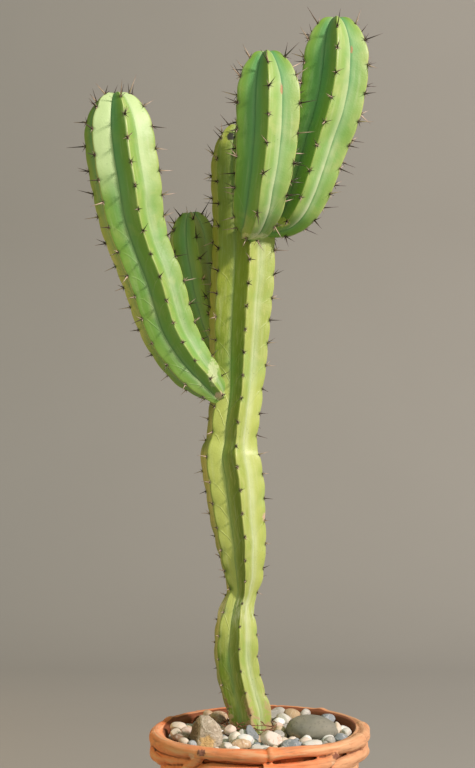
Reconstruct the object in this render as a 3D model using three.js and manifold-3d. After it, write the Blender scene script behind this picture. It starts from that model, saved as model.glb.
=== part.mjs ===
// A bilberry cactus, Myrtillocactus geometrizans, in a terracotta pot whose rim is shaped as two
// intertwined branches. Millimetres, +Z up. The origin is the centre of the pot's flat base, and
// the front of the plant faces -Y. A bearing is an angle about +Z, counted from the front towards +X.

import * as THREE from 'three';
import { mergeVertices } from 'three/addons/utils/BufferGeometryUtils.js';
import { ConvexGeometry } from 'three/addons/geometries/ConvexGeometry.js';
import Module from 'manifold-3d';

const wasm = await Module();
wasm.setup();

// Gap between two pieces that touch, and how far a cutter is grown from the axis or centre of a
// ribbed stem, the round foot, a round stone or a broken one to leave it.
const GAP = 0.3;
const RIBBED_GROWTH = 0.5;
const FOOT_GROWTH = 0.4;
const STONE_GROWTH = 0.45;
const ROCK_GROWTH = 0.6;

// The pot's fired body. Its rim branches stand on the wall.
const POT = {
  sides: 36,
  wallTop: 258,
  baseRadius: 95,
  baseChamfer: 3,
  bellyHeight: 215,
  bellyRadius: 134,
  topRadius: 136,
  wall: 8.5,
  floor: 14,
  drainCount: 3,
  drainRadius: 8,
  drainRing: 36,
  drainSides: 12,
};

// The two branches of the rim. The upper one carries the rim's gentle tilt, and the lower one
// sways up to it and away from it four times on its way round.
const UPPER_BRANCH = { ring: 140, height: 262, tilt: 3.2, tiltBearing: 80, thickness: 9.5 };
const LOWER_BRANCH = { ring: 138.5, height: 236, sway: 9, thickness: 10.5 };
const BRANCH_STEPS = 36;
const BRANCH_SIDES = 7;
const KNOTS = 5;
const KNOT_SWELL = 1.2;

// Cut twigs that cross from the upper branch to the lower one.
const TWIG = { radius: 6.5, tipRadius: 5, ring: 146, high: 264, low: 226, lean: 9, sides: 7 };
const TWIG_BEARINGS = [-28, 44, 104, 163, 222, 281];

// Heights of the soil, of the bed of small stones between its pebbles, and of all that it may reach.
const SOIL_TOP = 238;
const BED_TOP = 252;
const HEAP_LIMIT = 278;

// Small stones of the bed, laid out on a spiral that fills the pot's mouth evenly.
const PEBBLES = {
  count: 56,
  spacing: 16,
  reach: 119,
  fromWall: 0.6,
  size: [10, 13.5],
  long: [0.95, 1.3],
  wide: [0.85, 1],
  flat: 0.7,
  tilt: 16,
  level: [255, 259],
};
const GOLDEN_ANGLE = Math.PI * (3 - Math.sqrt(5));

// Ribs, areoles and spines, alike on every stem.
const RIBS = 6;
const AREOLE_PITCH = 40;
const AREOLE_NOTCH = 0.975;
const AREOLE_RISE = 5;
const SHOULDER_TURN = 13;
const SHOULDER_SWELL = 1.04;
const DOME_TURNS = [20, 40, 58, 73, 84];
const DOME_AREOLES = [40, 73];
const DOME_DIMPLE = 4;
const SPINE = { length: [16, 25], radius: 1.1, rootDepth: 5, lift: [4, 26], swing: 16, sides: 3 };
const SPINE_DOME_SHARE = 0.8;
const SPINE_SAMPLES = [0.35, 0.7, 1];
const BARE_NECK = 26;
const LOWEST_SPINE = 292;
const CLEAR_OF_STEM = 8;
const CLEAR_OF_SPINE = 4;

// The trunk's buried foot.
const FOOT = { radius: 23, bottom: 206, top: 262, sides: 16 };

// Every stem runs along stations of x, y, z and crest radius, the last one at its apex. Its groove
// is a share of the crest radius at the bottom and at the top, and its first rib faces a bearing.
const STEMS = {
  trunk: {
    groove: [0.86, 0.76],
    crestBearing: 13,
    domeHeight: 66,
    stations: [
      [-9, 14, 250, 31], [-14, 13, 290, 33.3], [-23, 12, 318, 31.8], [-31, 10, 355, 31.7],
      [-32, 8, 390, 32], [-31.5, 6, 417, 27.5], [-28.5, 4, 438, 22.5], [-24, 4, 453, 22.2],
      [-22, 4, 476, 29], [-24, 2, 508, 35], [-30, 0, 556, 39.7], [-35, 0, 606, 43],
      [-40, 0, 640, 42.2], [-38, 0, 660, 36.4], [-35.5, 0, 688, 36.9], [-31, 2, 722, 36.9],
      [-29, 4, 769, 40.8], [-26, 6, 837, 44.1], [-22, 8, 905, 45.2], [-23, 12, 971, 43.5],
      [-26, 16, 1029, 43], [-29, 18, 1092, 43],
    ],
  },
  left_arm: {
    groove: [0.8, 0.72],
    crestBearing: 20,
    domeHeight: 60,
    stations: [
      [-46, -16, 716, 9], [-56, -24, 722, 15.5], [-66, -30, 731, 22.5], [-78, -36, 744, 28.5],
      [-90, -41, 759, 32.5], [-105, -46, 779, 36.5], [-121, -52, 808, 39], [-142, -62, 875, 42.3],
      [-166, -70, 944, 45.2], [-175, -74, 993, 47.5], [-183, -78, 1043, 47.3], [-189, -80, 1117, 47],
    ],
  },
  inner_arm: {
    groove: [0.8, 0.72],
    crestBearing: 10,
    domeHeight: 48,
    stations: [
      [-38, 20, 755, 10], [-50, 36, 772, 14], [-62, 51, 795, 22], [-72, 65, 825, 29],
      [-80, 73, 860, 34], [-86, 75, 895, 36.5], [-91, 75, 925, 36.5], [-97, 75, 978, 36],
    ],
  },
  centre_arm: {
    groove: [0.8, 0.72],
    crestBearing: 2,
    domeHeight: 62,
    stations: [
      [-16, -20, 938, 10], [-12, -46, 942, 14], [-7, -68, 952, 25.5], [-3, -82, 969, 34],
      [0, -90, 990, 39], [4, -92, 1015, 42.5], [8, -92, 1055, 45.5], [9.5, -92, 1105, 46.5],
      [8, -92, 1169, 44],
    ],
  },
  right_arm: {
    groove: [0.8, 0.72],
    crestBearing: 4,
    domeHeight: 62,
    stations: [
      [-8, 2, 944, 11], [20, -5, 946, 14], [37, -11, 954, 23], [48, -16, 969, 33.5],
      [59, -19, 995, 40], [70, -19, 1030, 43.5], [80, -18, 1064, 46.5], [91, -18, 1098, 49.5],
      [99, -18, 1135, 50], [102, -18, 1170, 49], [103, -18, 1230, 47.5],
    ],
  },
};

// Rounded stones that lie singly on the bed: centre, half sizes, turn about +Z and tilt. The skin of
// those longer than SMOOTH_FROM is split once more.
const SMOOTH_FROM = 16.5;
const UNEVEN = [0.05, 0.05, 0.04];
const UNEVEN_WAVES = [2, 2.6, 3];
const ROUND_STONES = {
  pebble_large: { at: [70, -18, 274], half: [35.5, 26, 18.5], turn: -4, tilt: 3, colour: 'greenGrey' },
  pebble_quartz: { at: [14, -72, 270], half: [18, 12, 11], turn: -46, tilt: 12, colour: 'quartz' },
  pebble_grey_front: { at: [40, -90, 266], half: [13, 11, 8.5], turn: 10, tilt: 0, colour: 'blueGrey' },
  pebble_white_flat: { at: [68, -83, 266], half: [16, 8.5, 6], turn: 24, tilt: 0, colour: 'white' },
  pebble_pale_left: { at: [-110, 8, 268], half: [12, 12, 8], turn: 15, tilt: 8, colour: 'cream' },
  pebble_brown_flat: { at: [-106, -40, 264], half: [12, 11, 7], turn: -20, tilt: -4, colour: 'brown' },
  pebble_tan_back: { at: [-56, 75, 268], half: [13, 12, 9], turn: 30, tilt: 0, colour: 'tan' },
  pebble_speckled: { at: [-28, -92, 266], half: [14, 11, 8.5], turn: 8, tilt: 0, colour: 'tan' },
  pebble_white_front: { at: [-4, -104, 264], half: [11, 9, 8], turn: 0, tilt: 0, colour: 'white' },
  pebble_white_right: { at: [34, 50, 270], half: [11, 12, 9.5], turn: 24, tilt: 12, colour: 'white' },
  pebble_olive_back: { at: [46, 84, 269], half: [13, 12, 9], turn: -16, tilt: 0, colour: 'tan' },
  pebble_blue_back: { at: [96, 62, 268], half: [11, 10, 7.5], turn: 36, tilt: 0, colour: 'blueGrey' },
  pebble_blue_right: { at: [107, -44, 265], half: [10, 10, 7], turn: -30, tilt: 0, colour: 'blueGrey' },
};

// Broken stones, as the corner points of their convex shape about a centre.
const BROKEN_STONES = {
  rock_angular: {
    at: [-68, -52, 276],
    colour: 'rock',
    corners: [
      [-12, 5, 21], [-11, -6, 20.5], [-1, 3, 21.5], [-2, -7, 20], [7, 1, 16.5], [9, -9, 12],
      [15, 5, 7], [17, -6, 5], [20, -3, -6], [17, -14, -18], [13, 16, -14], [-21, 8, 9],
      [-26, 4, -6], [-25, -6, -17], [-23, 13, -14], [-9, -14, 11], [-12, -19, 0], [-16, -21, -19],
      [3, -22, -19], [4, -18, 4], [-8, 20, -14], [-9, 15, 9],
    ],
  },
  slate_wedge: {
    at: [-10, -48, 273],
    colour: 'slate',
    corners: [
      [-8, 2, 10], [-3, 5, 11], [9, -1, -2], [8, -7, -19], [-6, -8, -19], [-9, 3, -19],
      [6, 6, -18], [-9, -2, 4],
    ],
  },
};

const COLOURS = {
  terracotta: [0xc4703c, 0.85],
  soil: [0x3d2c20, 1],
  gravel: [0xbdb3a2, 0.8],
  stem: [0x6fa35a, 0.55],
  greenGrey: [0x8c8f80, 0.75],
  blueGrey: [0x8a929b, 0.7],
  quartz: [0xe3cfc4, 0.5],
  white: [0xe6e3da, 0.6],
  cream: [0xd9ccb4, 0.7],
  brown: [0x7d6656, 0.8],
  tan: [0xb39b78, 0.8],
  rock: [0x9a8c76, 0.95],
  slate: [0x76838f, 0.75],
};

const radians = THREE.MathUtils.degToRad;
const lerp = THREE.MathUtils.lerp;

// A seeded draw of numbers between two limits.
function seededDraw(seed) {
  let state = seed;
  return (low, high) => {
    state = (state * 1664525 + 1013904223) % 4294967296;
    return low + (high - low) * state / 4294967296;
  };
}

// A point at a bearing about +Z.
function atBearing(bearing, radius, height) {
  return new THREE.Vector3(radius * Math.sin(bearing), -radius * Math.cos(bearing), height);
}

// A closed geometry as a solid that can be joined and cut.
function solidOf(geometry) {
  const bare = geometry.index ? geometry.toNonIndexed() : geometry.clone();
  bare.deleteAttribute('normal');
  bare.deleteAttribute('uv');
  const merged = mergeVertices(bare, 1e-4);
  return new wasm.Manifold(new wasm.Mesh({
    numProp: 3,
    vertProperties: Float32Array.from(merged.attributes.position.array),
    triVerts: Uint32Array.from(merged.index.array),
  }));
}

// A solid as a geometry again.
function geometryOf(solid) {
  const mesh = solid.getMesh();
  const geometry = new THREE.BufferGeometry();
  geometry.setAttribute('position', new THREE.BufferAttribute(mesh.vertProperties, 3));
  geometry.setIndex(new THREE.BufferAttribute(mesh.triVerts, 1));
  geometry.computeVertexNormals();
  return geometry;
}

// The largest of a solid's separate bodies. Small scraps that a cut leaves are dropped.
function largestBody(solid) {
  return solid.decompose().reduce((best, body) => (body.volume() > best.volume() ? body : best));
}

// A skin over rings of points. It closes on itself, or ends in a fan about each end's centre.
function loft(rings, ends) {
  const sides = rings[0].length;
  const points = rings.flat();
  const faces = [];
  const spans = ends ? rings.length - 1 : rings.length;
  for (let i = 0; i < spans; i += 1) {
    const near = i * sides;
    const far = ((i + 1) % rings.length) * sides;
    for (let j = 0; j < sides; j += 1) {
      const k = (j + 1) % sides;
      faces.push(near + j, near + k, far + k, near + j, far + k, far + j);
    }
  }
  if (ends) {
    const last = (rings.length - 1) * sides;
    const start = points.push(ends.start) - 1;
    const end = points.push(ends.end) - 1;
    for (let j = 0; j < sides; j += 1) {
      const k = (j + 1) % sides;
      faces.push(start, k, j, end, last + j, last + k);
    }
  }
  const geometry = new THREE.BufferGeometry().setFromPoints(points);
  geometry.setIndex(faces);
  return geometry;
}

// A profile of radius and height turned about +Z.
function turned(profile) {
  const points = profile.map(([radius, height]) => new THREE.Vector2(radius, height));
  return new THREE.LatheGeometry(points, POT.sides).rotateX(Math.PI / 2);
}

// An upright round bar between two heights.
function uprightBar(radius, bottom, top, sides, x = 0, y = 0) {
  const bar = new THREE.CylinderGeometry(radius, radius, top - bottom, sides).rotateX(Math.PI / 2);
  return bar.translate(x, y, (top + bottom) / 2);
}

// Radius of the pot's inner wall at a height.
function innerRadius(height) {
  const rise = Math.min(height / POT.bellyHeight, 1);
  const upper = Math.max(height - POT.bellyHeight, 0) / (POT.wallTop - POT.bellyHeight);
  return lerp(POT.baseRadius, POT.bellyRadius, rise) - POT.wall + upper * (POT.topRadius - POT.bellyRadius);
}

// What fills the pot between two heights, a gap away from its wall.
function potFilling(bottom, top) {
  return solidOf(turned([
    [0, bottom],
    [innerRadius(bottom) - GAP, bottom],
    [innerRadius(POT.bellyHeight) - GAP, POT.bellyHeight],
    [innerRadius(top) - GAP, top],
    [0, top],
  ].filter(([, height]) => height >= bottom && height <= top)));
}

// A branch that runs round the rim.
function rimBranch(branch, heightAt) {
  const rings = [];
  for (let i = 0; i < BRANCH_STEPS; i += 1) {
    const bearing = i / BRANCH_STEPS * 2 * Math.PI;
    const thickness = branch.thickness + KNOT_SWELL * Math.cos(KNOTS * bearing);
    const ring = [];
    for (let j = 0; j < BRANCH_SIDES; j += 1) {
      const turn = (j + 0.5) / BRANCH_SIDES * 2 * Math.PI;
      const reach = branch.ring + thickness * Math.cos(turn);
      ring.push(atBearing(bearing, reach, heightAt(bearing) - thickness * Math.sin(turn)));
    }
    rings.push(ring);
  }
  return solidOf(loft(rings));
}

// A cut twig that leans from the upper branch down over the lower one.
function twig(bearing) {
  const top = atBearing(radians(bearing), TWIG.ring - TWIG.radius / 2, TWIG.high);
  const foot = atBearing(radians(bearing - TWIG.lean), TWIG.ring, TWIG.low);
  const axis = top.clone().sub(foot);
  const bar = new THREE.CylinderGeometry(TWIG.tipRadius, TWIG.radius, axis.length(), TWIG.sides);
  const upright = new THREE.Vector3(0, 1, 0);
  bar.applyQuaternion(new THREE.Quaternion().setFromUnitVectors(upright, axis.clone().normalize()));
  const middle = top.clone().add(foot).multiplyScalar(0.5);
  return solidOf(bar.translate(middle.x, middle.y, middle.z));
}

function buildPot() {
  const floorRadius = innerRadius(POT.floor);
  const body = solidOf(turned([
    [0, 0],
    [POT.baseRadius - POT.baseChamfer, 0],
    [POT.baseRadius, POT.baseChamfer],
    [POT.bellyRadius, POT.bellyHeight],
    [POT.topRadius, POT.wallTop],
    [innerRadius(POT.wallTop), POT.wallTop],
    [innerRadius(POT.bellyHeight), POT.bellyHeight],
    [floorRadius, POT.floor],
    [0, POT.floor],
  ]));
  const upperHeight = (bearing) => (
    UPPER_BRANCH.height + UPPER_BRANCH.tilt * Math.cos(bearing - radians(UPPER_BRANCH.tiltBearing))
  );
  const lowerHeight = (bearing) => (
    LOWER_BRANCH.height + LOWER_BRANCH.sway * Math.sin(2 * bearing) ** 2
  );
  const branches = [rimBranch(UPPER_BRANCH, upperHeight), rimBranch(LOWER_BRANCH, lowerHeight)];
  let pot = wasm.Manifold.union([body, ...branches, ...TWIG_BEARINGS.map(twig)]);
  for (let i = 0; i < POT.drainCount; i += 1) {
    const hole = atBearing(i / POT.drainCount * 2 * Math.PI, POT.drainRing, 0);
    const drill = uprightBar(POT.drainRadius, -GAP, POT.floor + GAP, POT.drainSides, hole.x, hole.y);
    pot = pot.subtract(solidOf(drill));
  }
  return pot;
}

// A ribbed stem along its stations.
class Stem {
  constructor({ stations, groove, crestBearing, domeHeight }) {
    const centres = stations.map(([x, y, z]) => new THREE.Vector3(x, y, z));
    this.curve = new THREE.CatmullRomCurve3(centres, false, 'centripetal');
    this.radii = new THREE.SplineCurve(stations.map((station, i) => new THREE.Vector2(i, station[3])));
    this.length = this.curve.getLength();
    this.groove = groove;
    this.firstCrest = radians(crestBearing);
    this.domeHeight = domeHeight;
    this.levels = this.layLevels();
    this.axis = this.levels.map((level) => this.frameAt(level));
  }

  // Heights along the stem where the skin has a ring, and which of them bear areoles.
  layLevels() {
    const body = this.length - this.domeHeight;
    const steps = Math.round(body / (AREOLE_PITCH / 2));
    const levels = [];
    for (let i = 0; i <= steps; i += 1) {
      const along = i / steps * body;
      levels.push({ along, turn: 0, areole: (steps - i) % 2 === 0 && along > BARE_NECK });
    }
    for (const turn of DOME_TURNS) {
      const along = body + this.domeHeight * Math.sin(radians(turn));
      levels.push({ along, turn: radians(turn), areole: DOME_AREOLES.includes(turn) });
    }
    return levels;
  }

  // Centre, radius and directions of the stem at a level: along it, to its front and to its side.
  frameAt({ along, turn }) {
    const share = along / this.length;
    const tangent = this.curve.getTangentAt(share);
    const front = new THREE.Vector3(0, -1, 0);
    front.addScaledVector(tangent, -front.dot(tangent)).normalize();
    return {
      centre: this.curve.getPointAt(share),
      radius: this.radii.getPoint(this.curve.getUtoTmapping(share)).y * Math.cos(turn),
      groove: lerp(this.groove[0], this.groove[1], share),
      tangent,
      front,
      side: tangent.clone().cross(front),
    };
  }

  // Direction away from the axis at an angle from the stem's front.
  static outward(frame, angle) {
    return frame.front.clone().multiplyScalar(Math.cos(angle)).addScaledVector(frame.side, Math.sin(angle));
  }

  ring(frame, notch, growth) {
    const half = Math.PI / RIBS;
    const shoulder = radians(SHOULDER_TURN);
    const flat = frame.groove * Math.sin(half)
      / (Math.sin(shoulder) + frame.groove * Math.sin(half - shoulder));
    const outline = [
      [0, notch],
      [shoulder, flat * SHOULDER_SWELL],
      [half, frame.groove],
      [2 * half - shoulder, flat * SHOULDER_SWELL],
    ];
    const points = [];
    for (let rib = 0; rib < RIBS; rib += 1) {
      for (const [angle, share] of outline) {
        const outward = Stem.outward(frame, this.firstCrest + 2 * half * rib + angle);
        points.push(frame.centre.clone().addScaledVector(outward, frame.radius * share + growth));
      }
    }
    return points;
  }

  // The bare ribbed body, grown outwards where it is used as a cutter.
  body(growth = 0) {
    const rings = this.axis.map((frame, i) => (
      this.ring(frame, this.levels[i].areole ? AREOLE_NOTCH : 1, growth)
    ));
    const first = this.axis[0];
    const apex = this.curve.getPointAt(1).addScaledVector(this.curve.getTangentAt(1), growth - DOME_DIMPLE);
    if (growth) {
      rings[0].forEach((point) => point.addScaledVector(first.tangent, -growth));
    }
    const start = first.centre.clone().addScaledVector(first.tangent, -growth);
    return solidOf(loft(rings, { start, end: apex }));
  }

  // One spine at each areole, as its root, direction and length.
  spines(draw) {
    const spines = [];
    this.levels.forEach((level, i) => {
      if (!level.areole) {
        return;
      }
      for (let rib = 0; rib < RIBS; rib += 1) {
        const frame = this.axis[i];
        const crest = this.firstCrest + 2 * Math.PI / RIBS * rib;
        const root = frame.centre.clone();
        root.addScaledVector(Stem.outward(frame, crest), frame.radius * AREOLE_NOTCH);
        root.addScaledVector(frame.tangent, AREOLE_RISE * Math.cos(level.turn));
        const swing = radians(draw(-SPINE.swing, SPINE.swing));
        const lift = level.turn * SPINE_DOME_SHARE + radians(draw(...SPINE.lift));
        const direction = Stem.outward(frame, crest + swing).multiplyScalar(Math.cos(lift));
        direction.addScaledVector(frame.tangent, Math.sin(lift));
        spines.push({ root, direction, length: draw(...SPINE.length) });
      }
    });
    return spines;
  }

  // Whether a point lies clear of this stem's crests.
  isClearOf(point) {
    return this.axis.every((frame) => (
      frame.centre.distanceTo(point) > frame.radius + CLEAR_OF_STEM
    ));
  }
}

// A three-sided spine whose root is sunk in the flesh.
function spineSolid({ root, direction, length }) {
  const whole = length + SPINE.rootDepth;
  const cone = new THREE.ConeGeometry(SPINE.radius, whole, SPINE.sides);
  cone.translate(0, whole / 2 - SPINE.rootDepth, 0);
  cone.applyQuaternion(new THREE.Quaternion().setFromUnitVectors(new THREE.Vector3(0, 1, 0), direction));
  return solidOf(cone.translate(root.x, root.y, root.z));
}

// Points spread along a spine's free length.
function spinePoints({ root, direction, length }) {
  return SPINE_SAMPLES.map((share) => root.clone().addScaledVector(direction, length * share));
}

// The stems with their spines. A spine that would reach another stem or its spines is left off.
function buildStems() {
  const stems = Object.fromEntries(Object.entries(STEMS).map(([name, size]) => [name, new Stem(size)]));
  const draw = seededDraw(7);
  const placed = [];
  const built = {};
  for (const [name, stem] of Object.entries(stems)) {
    const others = Object.values(stems).filter((other) => other !== stem);
    const free = stem.spines(draw).filter((spine) => {
      const points = spinePoints(spine);
      return spine.root.z > LOWEST_SPINE
        && points.every((point) => others.every((other) => other.isClearOf(point)))
        && points.every((point) => placed.every((far) => far.distanceTo(point) > CLEAR_OF_SPINE));
    });
    free.forEach((spine) => placed.push(...spinePoints(spine)));
    let body = stem.body();
    if (name === 'trunk') {
      body = body.add(solidOf(footBar(0)));
      for (const arm of others) {
        body = body.subtract(arm.body(RIBBED_GROWTH));
      }
      body = largestBody(body);
    }
    built[name] = wasm.Manifold.union([body, ...free.map(spineSolid)]);
  }
  return { built, trunkCutter: stems.trunk.body(RIBBED_GROWTH) };
}

// The trunk's round foot below the stones, grown where it is used as a cutter.
function footBar(growth) {
  const [x, y] = STEMS.trunk.stations[0];
  return uprightBar(FOOT.radius + growth, FOOT.bottom - growth, FOOT.top, FOOT.sides, x, y);
}

// A rounded stone, a little uneven, grown where it is used as a cutter.
function roundStone({ at, half, turn, tilt }, seed, growth = 0) {
  const draw = seededDraw(seed);
  const phases = UNEVEN.map(() => draw(0, 2 * Math.PI));
  const stone = new THREE.IcosahedronGeometry(1, half[0] > SMOOTH_FROM ? 1 : 0);
  const position = stone.attributes.position;
  const point = new THREE.Vector3();
  for (let i = 0; i < position.count; i += 1) {
    point.fromBufferAttribute(position, i);
    const waves = point.toArray().map((value, k) => (
      UNEVEN[k] * Math.sin(UNEVEN_WAVES[k] * value + phases[k])
    ));
    const uneven = 1 + waves.reduce((sum, wave) => sum + wave);
    position.setXYZ(i, ...point.toArray().map((value, k) => value * (half[k] * uneven + growth)));
  }
  return solidOf(stone.rotateY(radians(tilt)).rotateZ(radians(turn)).translate(...at));
}

// A broken stone from its corners, grown where it is used as a cutter.
function brokenStone({ at, corners }, growth = 0) {
  const points = corners.map((corner) => {
    const point = new THREE.Vector3(...corner);
    return point.setLength(point.length() + growth);
  });
  return solidOf(new ConvexGeometry(points).translate(...at));
}

// The small stones of the bed, fused, with seats for the trunk and for the single stones.
function buildBed(cutters) {
  const draw = seededDraw(41);
  const pebbles = [];
  for (let i = 0; i < PEBBLES.count; i += 1) {
    const size = draw(...PEBBLES.size);
    const spiral = PEBBLES.spacing * Math.sqrt(i + 0.5);
    const reach = Math.min(spiral, PEBBLES.reach - size * PEBBLES.fromWall);
    const pebble = new THREE.IcosahedronGeometry(size, 0);
    pebble.scale(draw(...PEBBLES.long), draw(...PEBBLES.wide), PEBBLES.flat);
    pebble.rotateX(radians(draw(-PEBBLES.tilt, PEBBLES.tilt))).rotateZ(draw(0, 2 * Math.PI));
    const spot = atBearing(i * GOLDEN_ANGLE, reach, draw(...PEBBLES.level));
    pebbles.push(solidOf(pebble.translate(spot.x, spot.y, spot.z)));
  }
  const slab = potFilling(SOIL_TOP + GAP, BED_TOP);
  const mould = potFilling(SOIL_TOP + GAP, HEAP_LIMIT);
  const heap = wasm.Manifold.union([slab, ...pebbles]).intersect(mould);
  return largestBody(wasm.Manifold.difference([heap, ...cutters]));
}

function buildSoil() {
  return potFilling(POT.floor + GAP, SOIL_TOP).subtract(solidOf(footBar(FOOT_GROWTH)));
}

function mesh(name, solid, colour) {
  const [color, roughness] = COLOURS[colour];
  const piece = new THREE.Mesh(
    geometryOf(solid),
    new THREE.MeshStandardMaterial({ color, roughness, metalness: 0 }),
  );
  piece.name = name;
  return piece;
}

const pottedCactus = new THREE.Group();

const holder = new THREE.Group();
holder.add(mesh('pot', buildPot(), 'terracotta'));
holder.add(mesh('soil', buildSoil(), 'soil'));

const { built, trunkCutter } = buildStems();
const plant = new THREE.Group();
for (const [name, solid] of Object.entries(built)) {
  plant.add(mesh(name, solid, 'stem'));
}

const stones = new THREE.Group();
const cutters = [trunkCutter, solidOf(footBar(FOOT_GROWTH))];
Object.entries(ROUND_STONES).forEach(([name, stone], i) => {
  stones.add(mesh(name, roundStone(stone, i + 1), stone.colour));
  cutters.push(roundStone(stone, i + 1, STONE_GROWTH));
});
for (const [name, stone] of Object.entries(BROKEN_STONES)) {
  stones.add(mesh(name, brokenStone(stone), stone.colour));
  cutters.push(brokenStone(stone, ROCK_GROWTH));
}
stones.add(mesh('gravel_bed', buildBed(cutters), 'gravel'));

pottedCactus.add(holder, plant, stones);

export default pottedCactus;
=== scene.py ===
"""The potted bilberry cactus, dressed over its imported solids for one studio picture."""

import logging
import math
import random
from collections.abc import Callable, Iterator, Sequence
from dataclasses import dataclass
from enum import Enum

import bmesh
import bpy
from bmesh.types import BMesh, BMVert
from bpy.types import Material, Node, NodeSocket, Object
from mathutils import Matrix, Vector, noise

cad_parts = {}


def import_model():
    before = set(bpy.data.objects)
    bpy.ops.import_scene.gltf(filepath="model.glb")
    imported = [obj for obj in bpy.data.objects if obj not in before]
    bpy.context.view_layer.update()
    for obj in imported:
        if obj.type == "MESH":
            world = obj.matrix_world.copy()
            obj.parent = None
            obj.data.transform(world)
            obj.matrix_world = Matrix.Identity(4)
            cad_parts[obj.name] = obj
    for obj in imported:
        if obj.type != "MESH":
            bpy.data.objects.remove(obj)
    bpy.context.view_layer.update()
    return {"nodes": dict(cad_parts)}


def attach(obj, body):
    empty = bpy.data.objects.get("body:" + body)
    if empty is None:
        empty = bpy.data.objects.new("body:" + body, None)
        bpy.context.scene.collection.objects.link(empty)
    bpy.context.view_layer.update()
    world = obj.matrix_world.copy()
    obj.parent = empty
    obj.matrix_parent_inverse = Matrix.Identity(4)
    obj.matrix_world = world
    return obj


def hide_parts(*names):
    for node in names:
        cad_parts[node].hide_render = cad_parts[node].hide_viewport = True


log = logging.getLogger("potted_cactus")

MM = 0.001
RIBS = 6
RIB_TURN = 360 / RIBS
HALF_RIB = RIB_TURN / 2
BODY = "root"

# The Skin map counts areoles down from the apex, from this number up.
MAP_START = 8
# The pale arc below an areole: how many areoles it drops on its way to the groove, and its bend.
ARC_DROP = 0.85
ARC_BEND = 1.6
# Bearings of the skin that the key lamp reaches, and of the painted sunlit band, in degrees from
# the front to the right.
SUN_SIDE = ((-5, 0), (25, 1), (110, 1), (150, 0))
PAINTED_LIGHT_SIDE = ((-20, 0), (-9, 1), (18, 1), (40, 0))

Triple = tuple[float, float, float]
Colour = Triple
Station = tuple[float, float, float, float]
Keys = tuple[tuple[float, float], ...]
Place = Callable[[int, int], Vector]
Paint = Callable[[int, int, int], tuple[float, float]]


# Materials


class Value:
    """A number in a material, which adds a Math node for each sum that it takes part in."""

    def __init__(self, graph: "Graph", socket: NodeSocket) -> None:
        """Keeps the graph and the output socket."""
        self.graph = graph
        self.socket = socket

    def __add__(self, other: "Value | float") -> "Value":
        """This value plus the other."""
        return self.graph.math("ADD", self, other)

    def __radd__(self, other: float) -> "Value":
        """A number plus this value."""
        return self.graph.math("ADD", other, self)

    def __sub__(self, other: "Value | float") -> "Value":
        """This value less the other."""
        return self.graph.math("SUBTRACT", self, other)

    def __rsub__(self, other: float) -> "Value":
        """A number less this value."""
        return self.graph.math("SUBTRACT", other, self)

    def __mul__(self, other: "Value | float") -> "Value":
        """This value times the other."""
        return self.graph.math("MULTIPLY", self, other)

    def __rmul__(self, other: float) -> "Value":
        """A number times this value."""
        return self.graph.math("MULTIPLY", other, self)

    def __pow__(self, other: "Value | float") -> "Value":
        """This value to a power."""
        return self.graph.math("POWER", self, other)

    def __abs__(self) -> "Value":
        """This value without its sign."""
        return self.graph.math("ABSOLUTE", self)

    def fraction(self) -> "Value":
        """What is left above the whole number below."""
        return self.graph.math("FRACT", self)

    def step(self, low: float, high: float) -> "Value":
        """A soft step: 0 at low and 1 at high, or the other way round if low is the larger.

        Args:
            low: Where it starts.
            high: Where it is full.

        Returns:
            The step, from 0 to 1.
        """
        ends = {"Value": self, "From Min": low, "From Max": high}
        node = self.graph.node("ShaderNodeMapRange", {"interpolation_type": "SMOOTHSTEP"}, ends)
        return Value(self.graph, node.outputs["Result"])


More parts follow.
